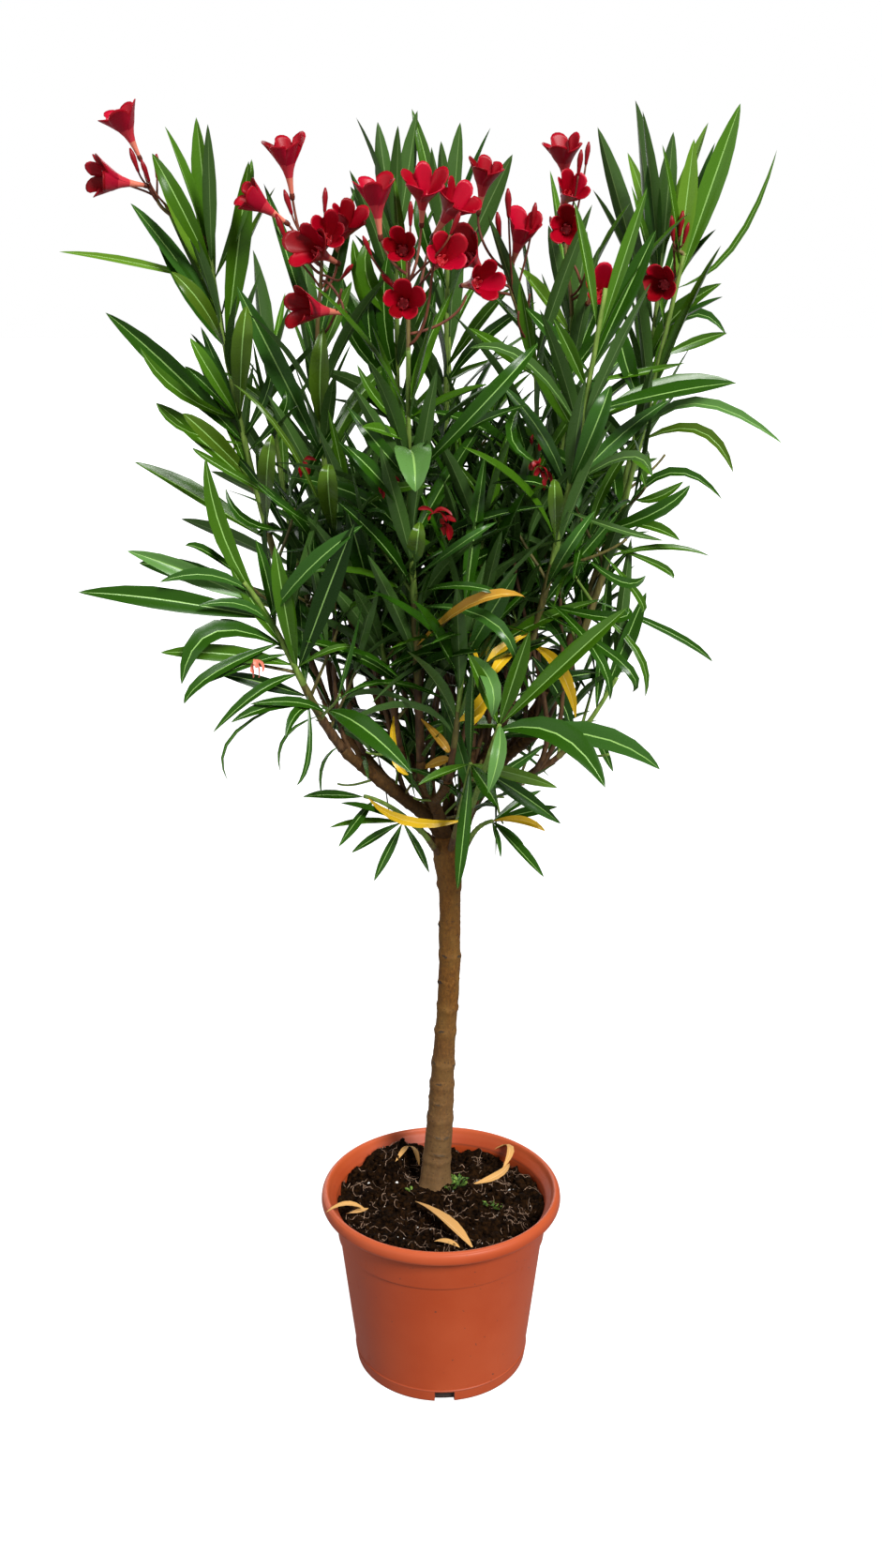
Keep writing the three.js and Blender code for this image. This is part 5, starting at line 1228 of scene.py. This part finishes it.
# The leaves of the crown's outline: the share of the shoot, the leaf's point, and its width and colour
# where they are known.
REACH = {
    "tall_left": [
        (0.93, -410, -70, 1441, 9), (0.6, -360, -90, 1379), (0.92, -262, -30, 1578), (0.5, -316, -60, 1282),
        (0.38, -348, -40, 1215), (0.8, -203, -70, 1532), (0.9, -305, -60, 1536), (0.86, -330, -72, 1490),
        (0.8, -307, -60, 1455),
    ],
    "low_left": [
        (0.8, -386, -200, 1097), (0.9, -337, -170, 1136, 21, "pale"),
        (0.95, -334, -120, 1114, 24, "bluish"), (0.35, -250, -130, 990), (0.5, -90, -210, 1172),
    ],
    "mid_left": [(0.7, -218, -90, 1406), (0.95, -95, -90, 1411)],
    "front": [(0.8, -81, -220, 1271), (0.85, 48, -190, 1311), (0.62, -109, -160, 1251)],
    "crown_left": [
        (0.95, -73, 110, 1584), (0.97, -27, 110, 1596), (0.9, -103, 60, 1512), (0.86, -98, 40, 1460),
        (0.92, -75, 60, 1501), (0.7, -110, 40, 1380),
    ],
    "crown_middle": [(0.95, 22, 90, 1582), (0.95, 0, 60, 1560), (0.9, 80, 40, 1545)],
    "mid_right": [(0.95, 30, -90, 1363), (0.95, 85, -80, 1411)],
    "front_right": [
        (0.92, 137, -130, 1490, 14), (0.9, 208, -160, 1502, 15), (0.75, 310, -150, 1310),
        (0.8, 114, -190, 1376), (0.7, 88, -150, 1346), (0.85, 221, -140, 1462),
    ],
    "flower_right": [(0.95, 85, -40, 1425), (0.95, 121, 30, 1470)],
    "right": [(0.93, 214, 30, 1600), (0.95, 230, 0, 1547), (0.95, 256, 20, 1567), (0.85, 175, 50, 1574)],
    "far_right": [
        (0.95, 318, -40, 1591), (0.95, 269, -50, 1555), (0.8, 320, -20, 1355), (0.86, 303, -80, 1395),
    ],
    "low_right": [(0.8, 236, -60, 1070), (0.6, 206, -50, 850)],
    "front_rosette": [(1, 198, -210, 1083), (1, 28, -240, 1040), (1, 92, -250, 1066)],
    "centre_rosette": [(1, 131, -170, 869), (1, 139, -130, 812), (1, -26, -170, 872), (1, 62, -234, 868)],
    "left_tuft": [
        (1, -80, -94, 727), (1, -108, -64, 752), (1, -14, -96, 738), (1, -134, -70, 786),
        (1, -118, -96, 826),
    ],
    "left_fringe": [(1, -164, -80, 828), (0.9, -120, -120, 780)],
    "right_tuft": [
        (1, 121, -120, 742), (1, 70, -114, 764), (1, 100, -62, 762), (1, 122, -30, 820),
        (1, 136, -110, 826), (0.95, 119, -60, 800),
    ],
    "inner_left": [(0.4, -150, -140, 1030), (0.3, -30, -150, 1010), (0.7, -100, -170, 1180)],
    "inner_right": [(0.4, 120, -140, 1030), (0.3, -10, -130, 1000), (0.7, 90, -170, 1200)],
    "inner_front": [(0.7, 80, -210, 1120), (0.6, -30, -210, 1090)],
    "back_left": [(0.95, -170, 200, 1456), (0.5, -290, 160, 1180), (0.4, -150, 320, 1140)],
    "back": [(0.95, 18, 250, 1486), (0.55, -60, 350, 1240), (0.35, 60, 330, 1090)],
    "back_right": [(0.95, 180, 208, 1466), (0.5, 280, 216, 1190), (0.3, 190, 300, 1050)],
    "side_left": [(0.95, -220, 96, 1444), (0.4, -320, 96, 1130), (0.25, -290, 60, 1060)],
    "low_back": [(0.9, 250, 170, 1060), (0.7, 216, 246, 930)],
}
# Single leaves: root, middle, tip, width and colour. Each root is moved to the nearest limb.
LONE = [
    (236, 0, 1317, 262, -8, 1372, 311, -20, 1408, 19, "mid"),
    (227, 0, 1317, 278, -10, 1373, 319, -20, 1353, 13, "mid"),
    (160, -90, 1266, 238, -95, 1300, 323, -80, 1304, 23, "mid"),
    (218, -60, 1250, 285, -70, 1282, 378, -80, 1239, 14, "pale"),
    (219, -60, 1237, 283, -80, 1254, 323, -90, 1209, 14, "olive"),
    (168, -90, 1314, 215, -95, 1316, 263, -100, 1327, 9, "mid"),
    (200, -60, 1173, 258, -80, 1208, 314, -80, 1178, 12, "dark"),
    (196, -90, 1217, 215, -125, 1226, 225, -160, 1214, 22, "bright"),
    (258, -50, 1402, 318, -48, 1448, 359, -44, 1545, 7, "mid"),
    (205, -40, 1050, 270, -48, 1018, 318, -50, 985, 10, "bright"),
    (202, -60, 1038, 228, -66, 1000, 238, -70, 948, 9, "mid"),
    (186, -60, 1103, 250, -62, 1122, 307, -60, 1111, 8, "mid"),
    (228, -60, 1107, 248, -70, 1102, 263, -80, 1089, 9, "mid"),
    (204, -60, 1144, 238, -70, 1146, 269, -80, 1132, 13, "dark"),
    (-174, -128, 1021, -248, -165, 1046, -283, -185, 992, 24, "bright"),
    (-161, -130, 993, -235, -150, 1018, -309, -160, 1022, 20, "mid"),
    (-190, -140, 1020, -250, -165, 1000, -282, -180, 969, 15, "dark"),
    (-144, -100, 942, -190, -125, 952, -236, -150, 939, 15, "dark"),
    (-144, -100, 937, -162, -125, 945, -175, -150, 922, 13, "dark"),
    (-170, -110, 950, -235, -130, 920, -244, -130, 864, 4.5, "dark"),
    (-134, -100, 923, -178, -110, 912, -186, -110, 869, 4.5, "dark"),
    (-116, -80, 885, -138, -90, 872, -140, -90, 831, 4.5, "dark"),
    (-156, -130, 988, -168, -150, 1060, -173, -150, 1117, 18, "mid"),
    (-175, -150, 1062, -140, -185, 1120, -82, -200, 1168, 20, "bluish"),
    (-210, -140, 1073, -236, -148, 1150, -251, -150, 1233, 20, "dark"),
    (-133, -110, 944, -85, -160, 935, -32, -190, 892, 26, "mid"),
    (-78, -70, 824, -40, -108, 808, 25, -100, 806, 12, "yellow"),
    (99, -120, 1011, 132, -150, 1000, 150, -160, 947, 15, "yellow"),
    (75, -105, 1040, 62, -115, 1010, 61, -120, 985, 12, "yellow"),
    (62, -105, 1000, 50, -112, 960, 28, -120, 922, 13, "yellow"),
    (-18, -60, 856, -2, -80, 872, 11, -90, 878, 12, "ochre"),
    (66, -80, 801, 96, -100, 806, 122, -110, 796, 10, "yellow"),
    (77, -170, 954, 128, -220, 945, 176, -250, 895, 31, "mid"),
    (90, -150, 950, 165, -190, 936, 238, -220, 906, 28, "mid"),
    (27, -190, 1005, 52, -228, 1008, 54, -232, 968, 18, "pale"),
    (58, -200, 965, 62, -228, 925, 51, -232, 883, 17, "pale"),
    (29, -130, 878, 26, -150, 810, 19, -150, 738, 16, "mid"),
    (-30, -170, 1235, -28, -214, 1238, -26, -238, 1208, 38, "pale"),
    (-150, -120, 985, -205, -140, 972, -255, -160, 930, 13, "dark"),
    (-175, -130, 1010, -225, -150, 1003, -270, -170, 985, 12, "mid"),
    (-205, -150, 1085, -250, -170, 1110, -300, -190, 1106, 14, "mid"),
    (-120, -100, 930, -165, -120, 955, -215, -140, 958, 12, "dark"),
    (-150, -110, 960, -150, -135, 900, -165, -140, 862, 7, "dark"),
    (-190, -140, 1040, -215, -160, 1075, -262, -180, 1078, 12, "bluish"),
    (-247, -60, 1250, -287, -75, 1295, -325, -90, 1343, 14, "mid"),
    (-228, -50, 1261, -257, -50, 1296, -284, -50, 1321, 12, "dark"),
    (-248, -60, 1226, -281, -75, 1253, -311, -90, 1286, 8, "mid"),
    (-214, -22, 1191, -249, -95, 1244, -279, -110, 1275, 20, "olive"),
    (-202, -17, 1139, -190, -115, 1211, -183, -115, 1253, 20, "olive"),
    (-188, -60, 1226, -176, -80, 1268, -171, -80, 1298, 13, "dark"),
    (-234, -120, 1107, -254, -140, 1129, -277, -150, 1138, 10, "dark"),
    (-225, -70, 1259, -249, -95, 1316, -269, -100, 1353, 16, "bright"),
    (-132, -71, 1257, -130, -110, 1312, -126, -100, 1364, 22, "olive"),
    (-229, -29, 1262, -214, -100, 1339, -207, -100, 1386, 23, "olive"),
    (-122, -51, 1130, -120, -160, 1200, -119, -160, 1227, 22, "olive"),
    (-122, -51, 1130, -165, -140, 1249, -222, -130, 1308, 6, "olive"),
    (-122, -51, 1130, -163, -140, 1174, -200, -140, 1204, 6, "dark"),
    (-32, -135, 1205, 44, -215, 1294, 99, -190, 1352, 19, "dark"),
    (148, -138, 1259, 88, -185, 1333, 29, -190, 1347, 13, "under"),
    (138, -129, 1196, 161, -175, 1267, 177, -160, 1308, 22, "bluish"),
    (157, -145, 1320, 118, -120, 1357, 89, -120, 1385, 15, "dark"),
    (127, -118, 1130, 118, -215, 1192, 117, -215, 1218, 17, "olive"),
    (-31, -113, 1095, -25, -235, 1151, -22, -235, 1177, 19, "olive"),
    (164, -130, 1192, 196, -165, 1235, 221, -180, 1217, 13, "under"),
    (229, -49, 1268, 197, -110, 1330, 192, -100, 1364, 21, "dark"),
    (59, -100, 1289, 74, -150, 1260, 104, -160, 1227, 12, "dark"),
    (131, -170, 1163, 182, -200, 1165, 234, -200, 1152, 8, "under"),
    (116, -105, 1078, 131, -205, 1140, 162, -190, 1182, 14, "bluish"),
    (-31, -113, 1095, 18, -215, 1149, 58, -210, 1173, 10, "mid"),
    (-30, -109, 1077, 18, -225, 1109, 69, -225, 1098, 9, "dark"),
    (-34, -140, 1262, -64, -170, 1291, -87, -170, 1330, 11, "mid"),
    (-33, -135, 1208, -61, -185, 1244, -97, -180, 1288, 16, "dark"),
    (-32, -128, 1170, -68, -190, 1219, -98, -190, 1248, 17, "dark"),
    (186, -100, 1132, 229, -130, 1169, 270, -130, 1201, 17, "dark"),
    (226, -80, 1163, 241, -95, 1183, 267, -100, 1201, 12, "mid"),
    (176, -130, 1083, 199, -150, 1098, 223, -150, 1106, 12, "dark"),
    (203, -120, 1085, 218, -130, 1079, 222, -130, 1061, 9, "mid"),
    (175, -150, 1041, 186, -165, 1062, 203, -165, 1074, 14, "dark"),
    (176, -150, 1032, 196, -170, 1015, 211, -170, 980, 12, "dark"),
    (-29, -105, 1059, 49, -220, 1073, 81, -225, 1021, 15, "bluish"),
    (-158, -120, 993, -171, -160, 1078, -179, -160, 1140, 20, "mid"),
    (-157, -120, 997, -122, -150, 1023, -93, -150, 1025, 8, "mid"),
    (118, -160, 1055, 166, -200, 1032, 183, -200, 978, 12, "dark"),
    (-28, -98, 1010, 34, -225, 1091, 88, -225, 1097, 13, "ochre"),
    (-245, -70, 1420, -274, -90, 1486, -303, -80, 1539, 20, "mid"),
    (-235, -50, 1411, -214, -60, 1479, -202, -50, 1535, 14, "dark"),
    (-239, -80, 1336, -254, -110, 1388, -284, -110, 1421, 19, "olive"),
    (-218, -60, 1241, -195, -60, 1287, -187, -50, 1326, 12, "dark"),
    (-71, 60, 1357, -83, 30, 1410, -80, 30, 1455, 22, "dark"),
    (-22, 60, 1399, -19, 30, 1460, -24, 40, 1505, 17, "dark"),
    (-71, 40, 1284, -95, 20, 1338, -107, 20, 1379, 14, "dark"),
    (-179, -120, 1019, -201, -150, 1068, -231, -150, 1120, 15, "mid"),
    (-179, -120, 1019, -216, -140, 1043, -244, -140, 1055, 12, "dark"),
    (-189, -120, 1046, -190, -140, 1097, -202, -140, 1144, 13, "dark"),
    (-204, -80, 1191, -237, -100, 1214, -272, -100, 1237, 9, "mid"),
    (-195, -90, 1125, -215, -110, 1159, -236, -110, 1195, 10, "dark"),
    (-11, -90, 921, 0, -115, 908, 9, -120, 895, 10, "ochre"),
    (-65, -100, 916, -53, -125, 893, -37, -125, 870, 10, "yellow"),
    (14, -110, 1016, 31, -130, 1017, 44, -130, 998, 11, "yellow"),
    (70, -110, 1017, 67, -130, 1004, 60, -130, 990, 12, "yellow"),
    (48, -120, 926, 44, -140, 957, 54, -140, 983, 16, "yellow"),
    (-66, 70, 1284, -98, 52, 1350, -113, 50, 1414, 24, "dark"),
    (-54, 80, 1330, -85, 55, 1390, -100, 40, 1455, 22, "mid"),
    (-50, 80, 1262, -24, 50, 1330, -7, 30, 1399, 18, "dark"),
    (2, 70, 1310, 45, 45, 1365, 79, 30, 1402, 16, "mid"),
    (-58, 70, 1240, -80, 60, 1330, -82, 50, 1402, 20, "deep"),
    (-50, 80, 1300, -66, 60, 1370, -60, 50, 1440, 20, "dark"),
]
# Each side of the crown: where it starts and ends across the plant, in metres, and its shoots.
SIDES = {
    "left": (-1.0, -0.09, (
        "tall_left", "low_left", "mid_left", "crown_left", "left_tuft", "left_fringe", "inner_left",
        "back_left", "side_left",
    )),
    "middle": (-0.09, 0.07, (
        "front", "crown_middle", "front_rosette", "centre_rosette", "inner_front", "back",
    )),
    "right": (0.07, 1.0, (
        "mid_right", "front_right", "flower_right", "right", "far_right", "low_right", "right_tuft",
        "inner_right", "back_right", "low_back",
    )),
}
# The shoots behind, whose top leaves are small, and the shoots with more whorls in their middle.
BEHIND = {"back", "back_left", "back_right", "side_left"}
FULL = {
    "back", "back_left", "back_right", "crown_middle", "inner_left", "inner_right", "inner_front", "front",
    "mid_right",
}
GREENS = {
    "deep": (0.007, 0.03, 0.001), "dark": (0.015, 0.058, 0.002), "mid": (0.034, 0.096, 0.003),
    "bluish": (0.024, 0.078, 0.009), "bright": (0.05, 0.135, 0.007), "fresh": (0.085, 0.18, 0.012),
    "yellow": (0.53, 0.33, 0.012), "under": (0.04, 0.09, 0.017), "rib": (0.22, 0.38, 0.1),
    "yellow_rib": (0.6, 0.42, 0.08), "keel": (0.12, 0.2, 0.06), "ochre": (0.38, 0.2, 0.022),
    "olive": (0.05, 0.1, 0.006), "pale": (0.078, 0.18, 0.04),
}
KINDS = list(GREENS)
DEEP, DARK, MID, BLUISH, BRIGHT, FRESH, YELLOW, UNDER, RIB, YELLOW_RIB, KEEL, OCHRE = range(12)


def turned(vector, axis, angle):
    """A vector turned about an axis: v cos a + (axis x v) sin a + axis (axis . v)(1 - cos a)."""
    swung = vector * np.cos(angle) + np.cross(axis, vector) * np.sin(angle)
    return swung + axis * (axis @ vector) * (1 - np.cos(angle))


def ruled_leaf(limb, share, turn, spread, seed_a, seed_b, size):
    """A leaf out from its limb at a turn and a spread, which droops past its middle."""
    limb_way, out = limb.way(share), aside_of(limb, share, turn)
    angle = np.radians(spread + SPREAD_VARY * (chance(seed_a, seed_b, 1) - 0.5))
    way = limb_way * np.cos(angle) + out * np.sin(angle)
    length = LEAF_LENGTH * (0.8 + 0.4 * chance(seed_a, seed_b, 2)) * (0.4 + 0.6 * size)
    droop = LEAF_DROOP * np.sin(angle) * (0.3 + chance(seed_a, seed_b, 3))
    root = limb.line(share) + out * limb.radius(share) * 0.6
    middle = root + way * length * LEAF_WIDEST
    tip = middle + unit(way - UP * droop) * length * (1 - LEAF_WIDEST)
    facing = unit(limb_way + way * (0.001 - limb_way @ way))
    facing = turned(facing, way, LEAF_ROLL * (chance(seed_a, seed_b, 4) - 0.5))
    arch = length * 0.06 * (chance(seed_a, seed_b, 11) - 0.2)
    return root, middle, tip, facing, LEAF_WIDTH * size * (0.85 + 0.3 * chance(seed_a, seed_b, 5)), arch


def reaching_leaf(limb, share, tip, width, seed_a, seed_b):
    """A leaf from its limb to a known point. The flatter it lies, the more it arches and falls off."""
    way = limb.way(share)
    out = tip - limb.line(share)
    root = limb.line(share) + unit(out - way * (out @ way)) * limb.radius(share) * 0.6
    along = tip - root
    length = np.linalg.norm(along)
    towards = np.array([0, -0.8 if tip[1] < CROWN_AXIS[1] else 0.8, 0.6])
    facing = turned(towards, along / length, LEAF_ROLL / 2 * (chance(seed_a, seed_b, 6) - 0.5))
    arch = LEAF_ARCH * np.hypot(along[0], along[1]) * (0.5 + 1.4 * chance(seed_a, seed_b, 10))
    return root, root + along * 0.5, tip, facing, width or min(REACH_WIDTH, 0.15 * length), arch


def in_crown(point):
    """Whether a point lies inside the crown's outline."""
    reach = np.interp(point[2], CROWN_OUTLINE[:, 0], CROWN_OUTLINE[:, 1], left=0, right=0)
    return np.hypot(point[0] - CROWN_AXIS[0], (point[1] - CROWN_AXIS[1]) / CROWN_DEPTH) < reach


def hides_flower(root, middle, tip):
    """Whether a leaf crosses the space before a flower's mouth, or the space in front of the flower."""
    places = np.stack([middle, (middle + tip) / 2, tip, (middle + root) / 2])[:, None]
    away = places - mouths + axes * 12 * MM
    for way, reach in FLOWER_VIEWS:
        along = (away * way).sum(-1)
        aside = np.linalg.norm(away - along[..., None] * way, axis=-1)
        if ((along > -10 * MM) & (along < reach) & (aside < FLOWER_CLEAR)).any():
            return True
    return False


def whorl(limb, share, turn, spread, seed_a, seed_b, size=1.0):
    """Three leaves round a limb. One that would leave the crown closes up, and else is left out."""
    grown = []
    for j in range(3):
        around = turn + 2 * np.pi * j / 3 + TURN_VARY * (chance(seed_a, seed_b + j, 7) - 0.5)
        lower = max(share - j * LEAF_STAGGER / limb.length, 0)
        for narrower in (0, 18, 34):
            leaf = ruled_leaf(limb, lower, around, max(spread - narrower, 12), seed_a, seed_b + j, size)
            if in_crown(leaf[2]) and not hides_flower(*leaf[:3]):
                grown.append(leaf)
                break
    return grown


def kind_of(name, share, luck):
    """The green of a spray: fresh and bright at a shoot's tip, and dark low down and inside."""
    if name.startswith("inner"):
        share *= 0.5
    if share > 0.86:
        return BRIGHT if luck < 0.5 else FRESH if luck < 0.58 else MID
    if share > 0.55:
        return MID if luck < 0.4 else BRIGHT if luck < 0.52 else DARK if luck < 0.85 else BLUISH
    return DEEP if luck < 0.35 else DARK if luck < 0.72 else BLUISH if luck < 0.84 else MID


sprays = []


def add_sprays(limb, levels, turn, seed, first, luck, size):
    """Whorls near the end of a small limb: each level is its share of the limb and its spread."""
    for level, (share, spread) in enumerate(levels):
        leaves = whorl(limb, share, turn + level * np.pi / 3, spread, seed, first + 5 * level, size)
        sprays.append((limb.line(share)[0], kind_of("", 0.3, luck[level]), leaves))


for index, (name, parent, leave, tip, way, bare, whorls, twig_count, turn) in enumerate(SHOOTS):
    shoot = shoots[name]
    for k, (share, x, y, z, *known) in enumerate(REACH[name]):
        kind = KINDS.index(known[1]) if known[1:] else kind_of(name, share, chance(index, k, 80))
        width = known[0] * MM if known else None
        leaf = reaching_leaf(shoot, share, np.array([x, y, z]) * MM, width, index, k)
        sprays.append((leaf[2][0], kind, [leaf]))
    if name.startswith("inner"):
        bare += 0.2
    for k in range(2 * whorls - 1):
        share = bare + (0.985 - bare) * (k / 2 / (whorls - 1) if whorls > 1 else 1)
        if k % 2 and not (name in FULL and 0.3 < share < 0.7):
            continue
        spread = LOW_SPREAD + (TIP_SPREAD - LOW_SPREAD) * share**1.2
        seed = 5 * k if k % 2 == 0 else 500 + 5 * k
        size = BEHIND_LEAF if name in BEHIND and share > 0.75 else 1.0
        leaves = whorl(shoot, share, np.radians(turn + 30 * k), spread, index, seed, size)
        sprays.append((shoot.line(share)[0], kind_of(name, share, chance(index, k, 81)), leaves))
    for k, (twig_turn, twig) in enumerate(twigs[name]):
        luck = chance(index + 40, k, np.array([82, 83]))
        add_sprays(twig, TWIG_LEVELS, twig_turn, index + 40, 10 * k, luck, TWIG_LEAF)
for k, riser in enumerate(risers):
    add_sprays(riser, RISER_LEVELS, k, k + 90, 0, chance(k + 90, np.arange(2), 85), RISER_LEAF)
for k, spur in enumerate(spurs):
    levels = SPUR_LEVELS[:1] if k % 3 else SPUR_LEVELS
    add_sprays(spur, levels, k, k + 130, 0, chance(k + 130, np.arange(2), 86), SPUR_LEAF)
all_limbs = [*limbs.values(), *shoots.values(), *all_twigs]
wood = np.concatenate([limb.line(np.linspace(0, 1, 60)) for limb in all_limbs])
for *places, width, kind in LONE:
    root, middle, tip = np.array(places).reshape(3, 3) * MM
    root = wood[np.argmin(np.linalg.norm(wood - root, axis=1))]
    along = unit(tip - root)
    facing = unit(np.cross(along, np.cross(middle - root, along)) + np.array([0, -0.25, 0.15]))
    sprays.append((tip[0], KINDS.index(kind), [(root, middle, tip, facing, width * MM, 0.0)]))

leaf_looks = [leaf_look("leaf_" + name, colour, LEAF_ROUGHNESS) for name, colour in GREENS.items()]
for side, (low, high, named) in SIDES.items():
    picked = [(*leaf, kind) for x, kind, leaves in sprays if low <= x < high for leaf in leaves]
    root, middle, tip, facing, width, arch, kinds = (np.array(part) for part in zip(*picked))
    number = np.arange(len(picked))
    old = np.isin(kinds, [YELLOW, OCHRE])
    shifted = (chance(number, 86, 0) > 0.8) & (kinds < BRIGHT) & ~old
    kinds = np.where(shifted, (kinds + 1) % BRIGHT, kinds)
    low_down = tip[:, 2] < SHADED_BELOW
    kinds = np.where(low_down & (kinds == BRIGHT), MID, kinds)
    kinds = np.where(low_down & (kinds == MID) & (chance(number, 87, 0) > 0.25), DARK, kinds)
    points = blades(
        root, middle, tip, facing, width, LEAF_OUTLINE, 0.2 + 0.5 * chance(number, 83, 0),
        1.2 * (chance(number, 84, 0) - 0.5), LEAF_THICKNESS, BLADE_WAVE, arch,
    )
    aged, young = (YELLOW_RIB, OCHRE, YELLOW_RIB), (RIB, UNDER, KEEL)
    parts = (kinds, *(np.where(old, pale, green) for pale, green in zip(aged, young)))
    add_blades("leaves_" + side, points, leaf_looks, parts, ["foliage_" + name for name in named])


# Floor, light and camera
# A wide pale floor in front of a white backdrop, under a soft key light from the upper right in front, a
# weak fill from the left and a weak light from behind. The camera looks a little down at the plant.
FLOOR_SIDE = 60
FLOOR_GREY = (0.3, 0.3, 0.3)
FLOOR_GLOW = (0.96, 0.96, 0.96)
SURROUND = (0.21, 0.21, 0.21)
BACKDROP = (1, 1, 1)
CAMERA_AT = (0, -1.9, 1.433)
CAMERA_TILT = np.radians(90 - 17.92)
CAMERA_LENS = 37.23

bpy.ops.mesh.primitive_plane_add(size=FLOOR_SIDE)
floor = bpy.context.object
floor.name = "studio_floor"
floor_look = Look("studio_floor")
seen = floor_look.node("ShaderNodeLightPath", {}, {}, "Is Camera Ray")
glow = floor_look.mix((0, 0, 0), FLOOR_GLOW, seen)
floor.data.materials.append(floor_look.done(FLOOR_GREY, 0.9, Emission_Color=glow, Emission_Strength=1.0))

world = bpy.data.worlds.new("studio")
studio = Board(world)
seen = studio.node("ShaderNodeLightPath", {}, {}, "Is Camera Ray")
surround, backdrop = (
    studio.node("ShaderNodeBackground", {}, {"Color": (*colour, 1)}) for colour in (SURROUND, BACKDROP)
)
blend = studio.node("ShaderNodeMixShader", {}, {0: seen, 1: surround, 2: backdrop})
studio.tree.links.new(blend.socket, studio.tree.nodes["World Output"].inputs["Surface"])
bpy.context.scene.world = world


def add_sun(name, way, strength, spread):
    """A far soft light that shines along a way, from a disc that spreads over some degrees of sky."""
    lamp = bpy.data.lights.new(name, "SUN")
    lamp.energy, lamp.angle = strength, np.radians(spread)
    light = bpy.data.objects.new(name, lamp)
    bpy.context.scene.collection.objects.link(light)
    light.rotation_euler = Vector(way).to_track_quat("-Z", "Y").to_euler()
    return light


key = add_sun("key_light", (-0.5, 0.75, -0.75), 5.4, 18)
fill = add_sun("fill_light", (0.8, 0.7, -0.35), 1.1, 60)
back = add_sun("back_light", (0.3, -0.85, -0.3), 2.2, 60)

lens = bpy.data.cameras.new("camera")
lens.lens = CAMERA_LENS
lens.sensor_width = 36
camera = bpy.data.objects.new("camera", lens)
bpy.context.scene.collection.objects.link(camera)
camera.location = CAMERA_AT
camera.rotation_euler = (CAMERA_TILT, 0, 0)
bpy.context.scene.camera = camera
bpy.context.scene.view_settings.view_transform = "Standard"
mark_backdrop(floor, key, fill, back)

size = {
    "cad": [list(corner) for corner in cad_box],
    "visual": [list(corner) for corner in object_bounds()],
}
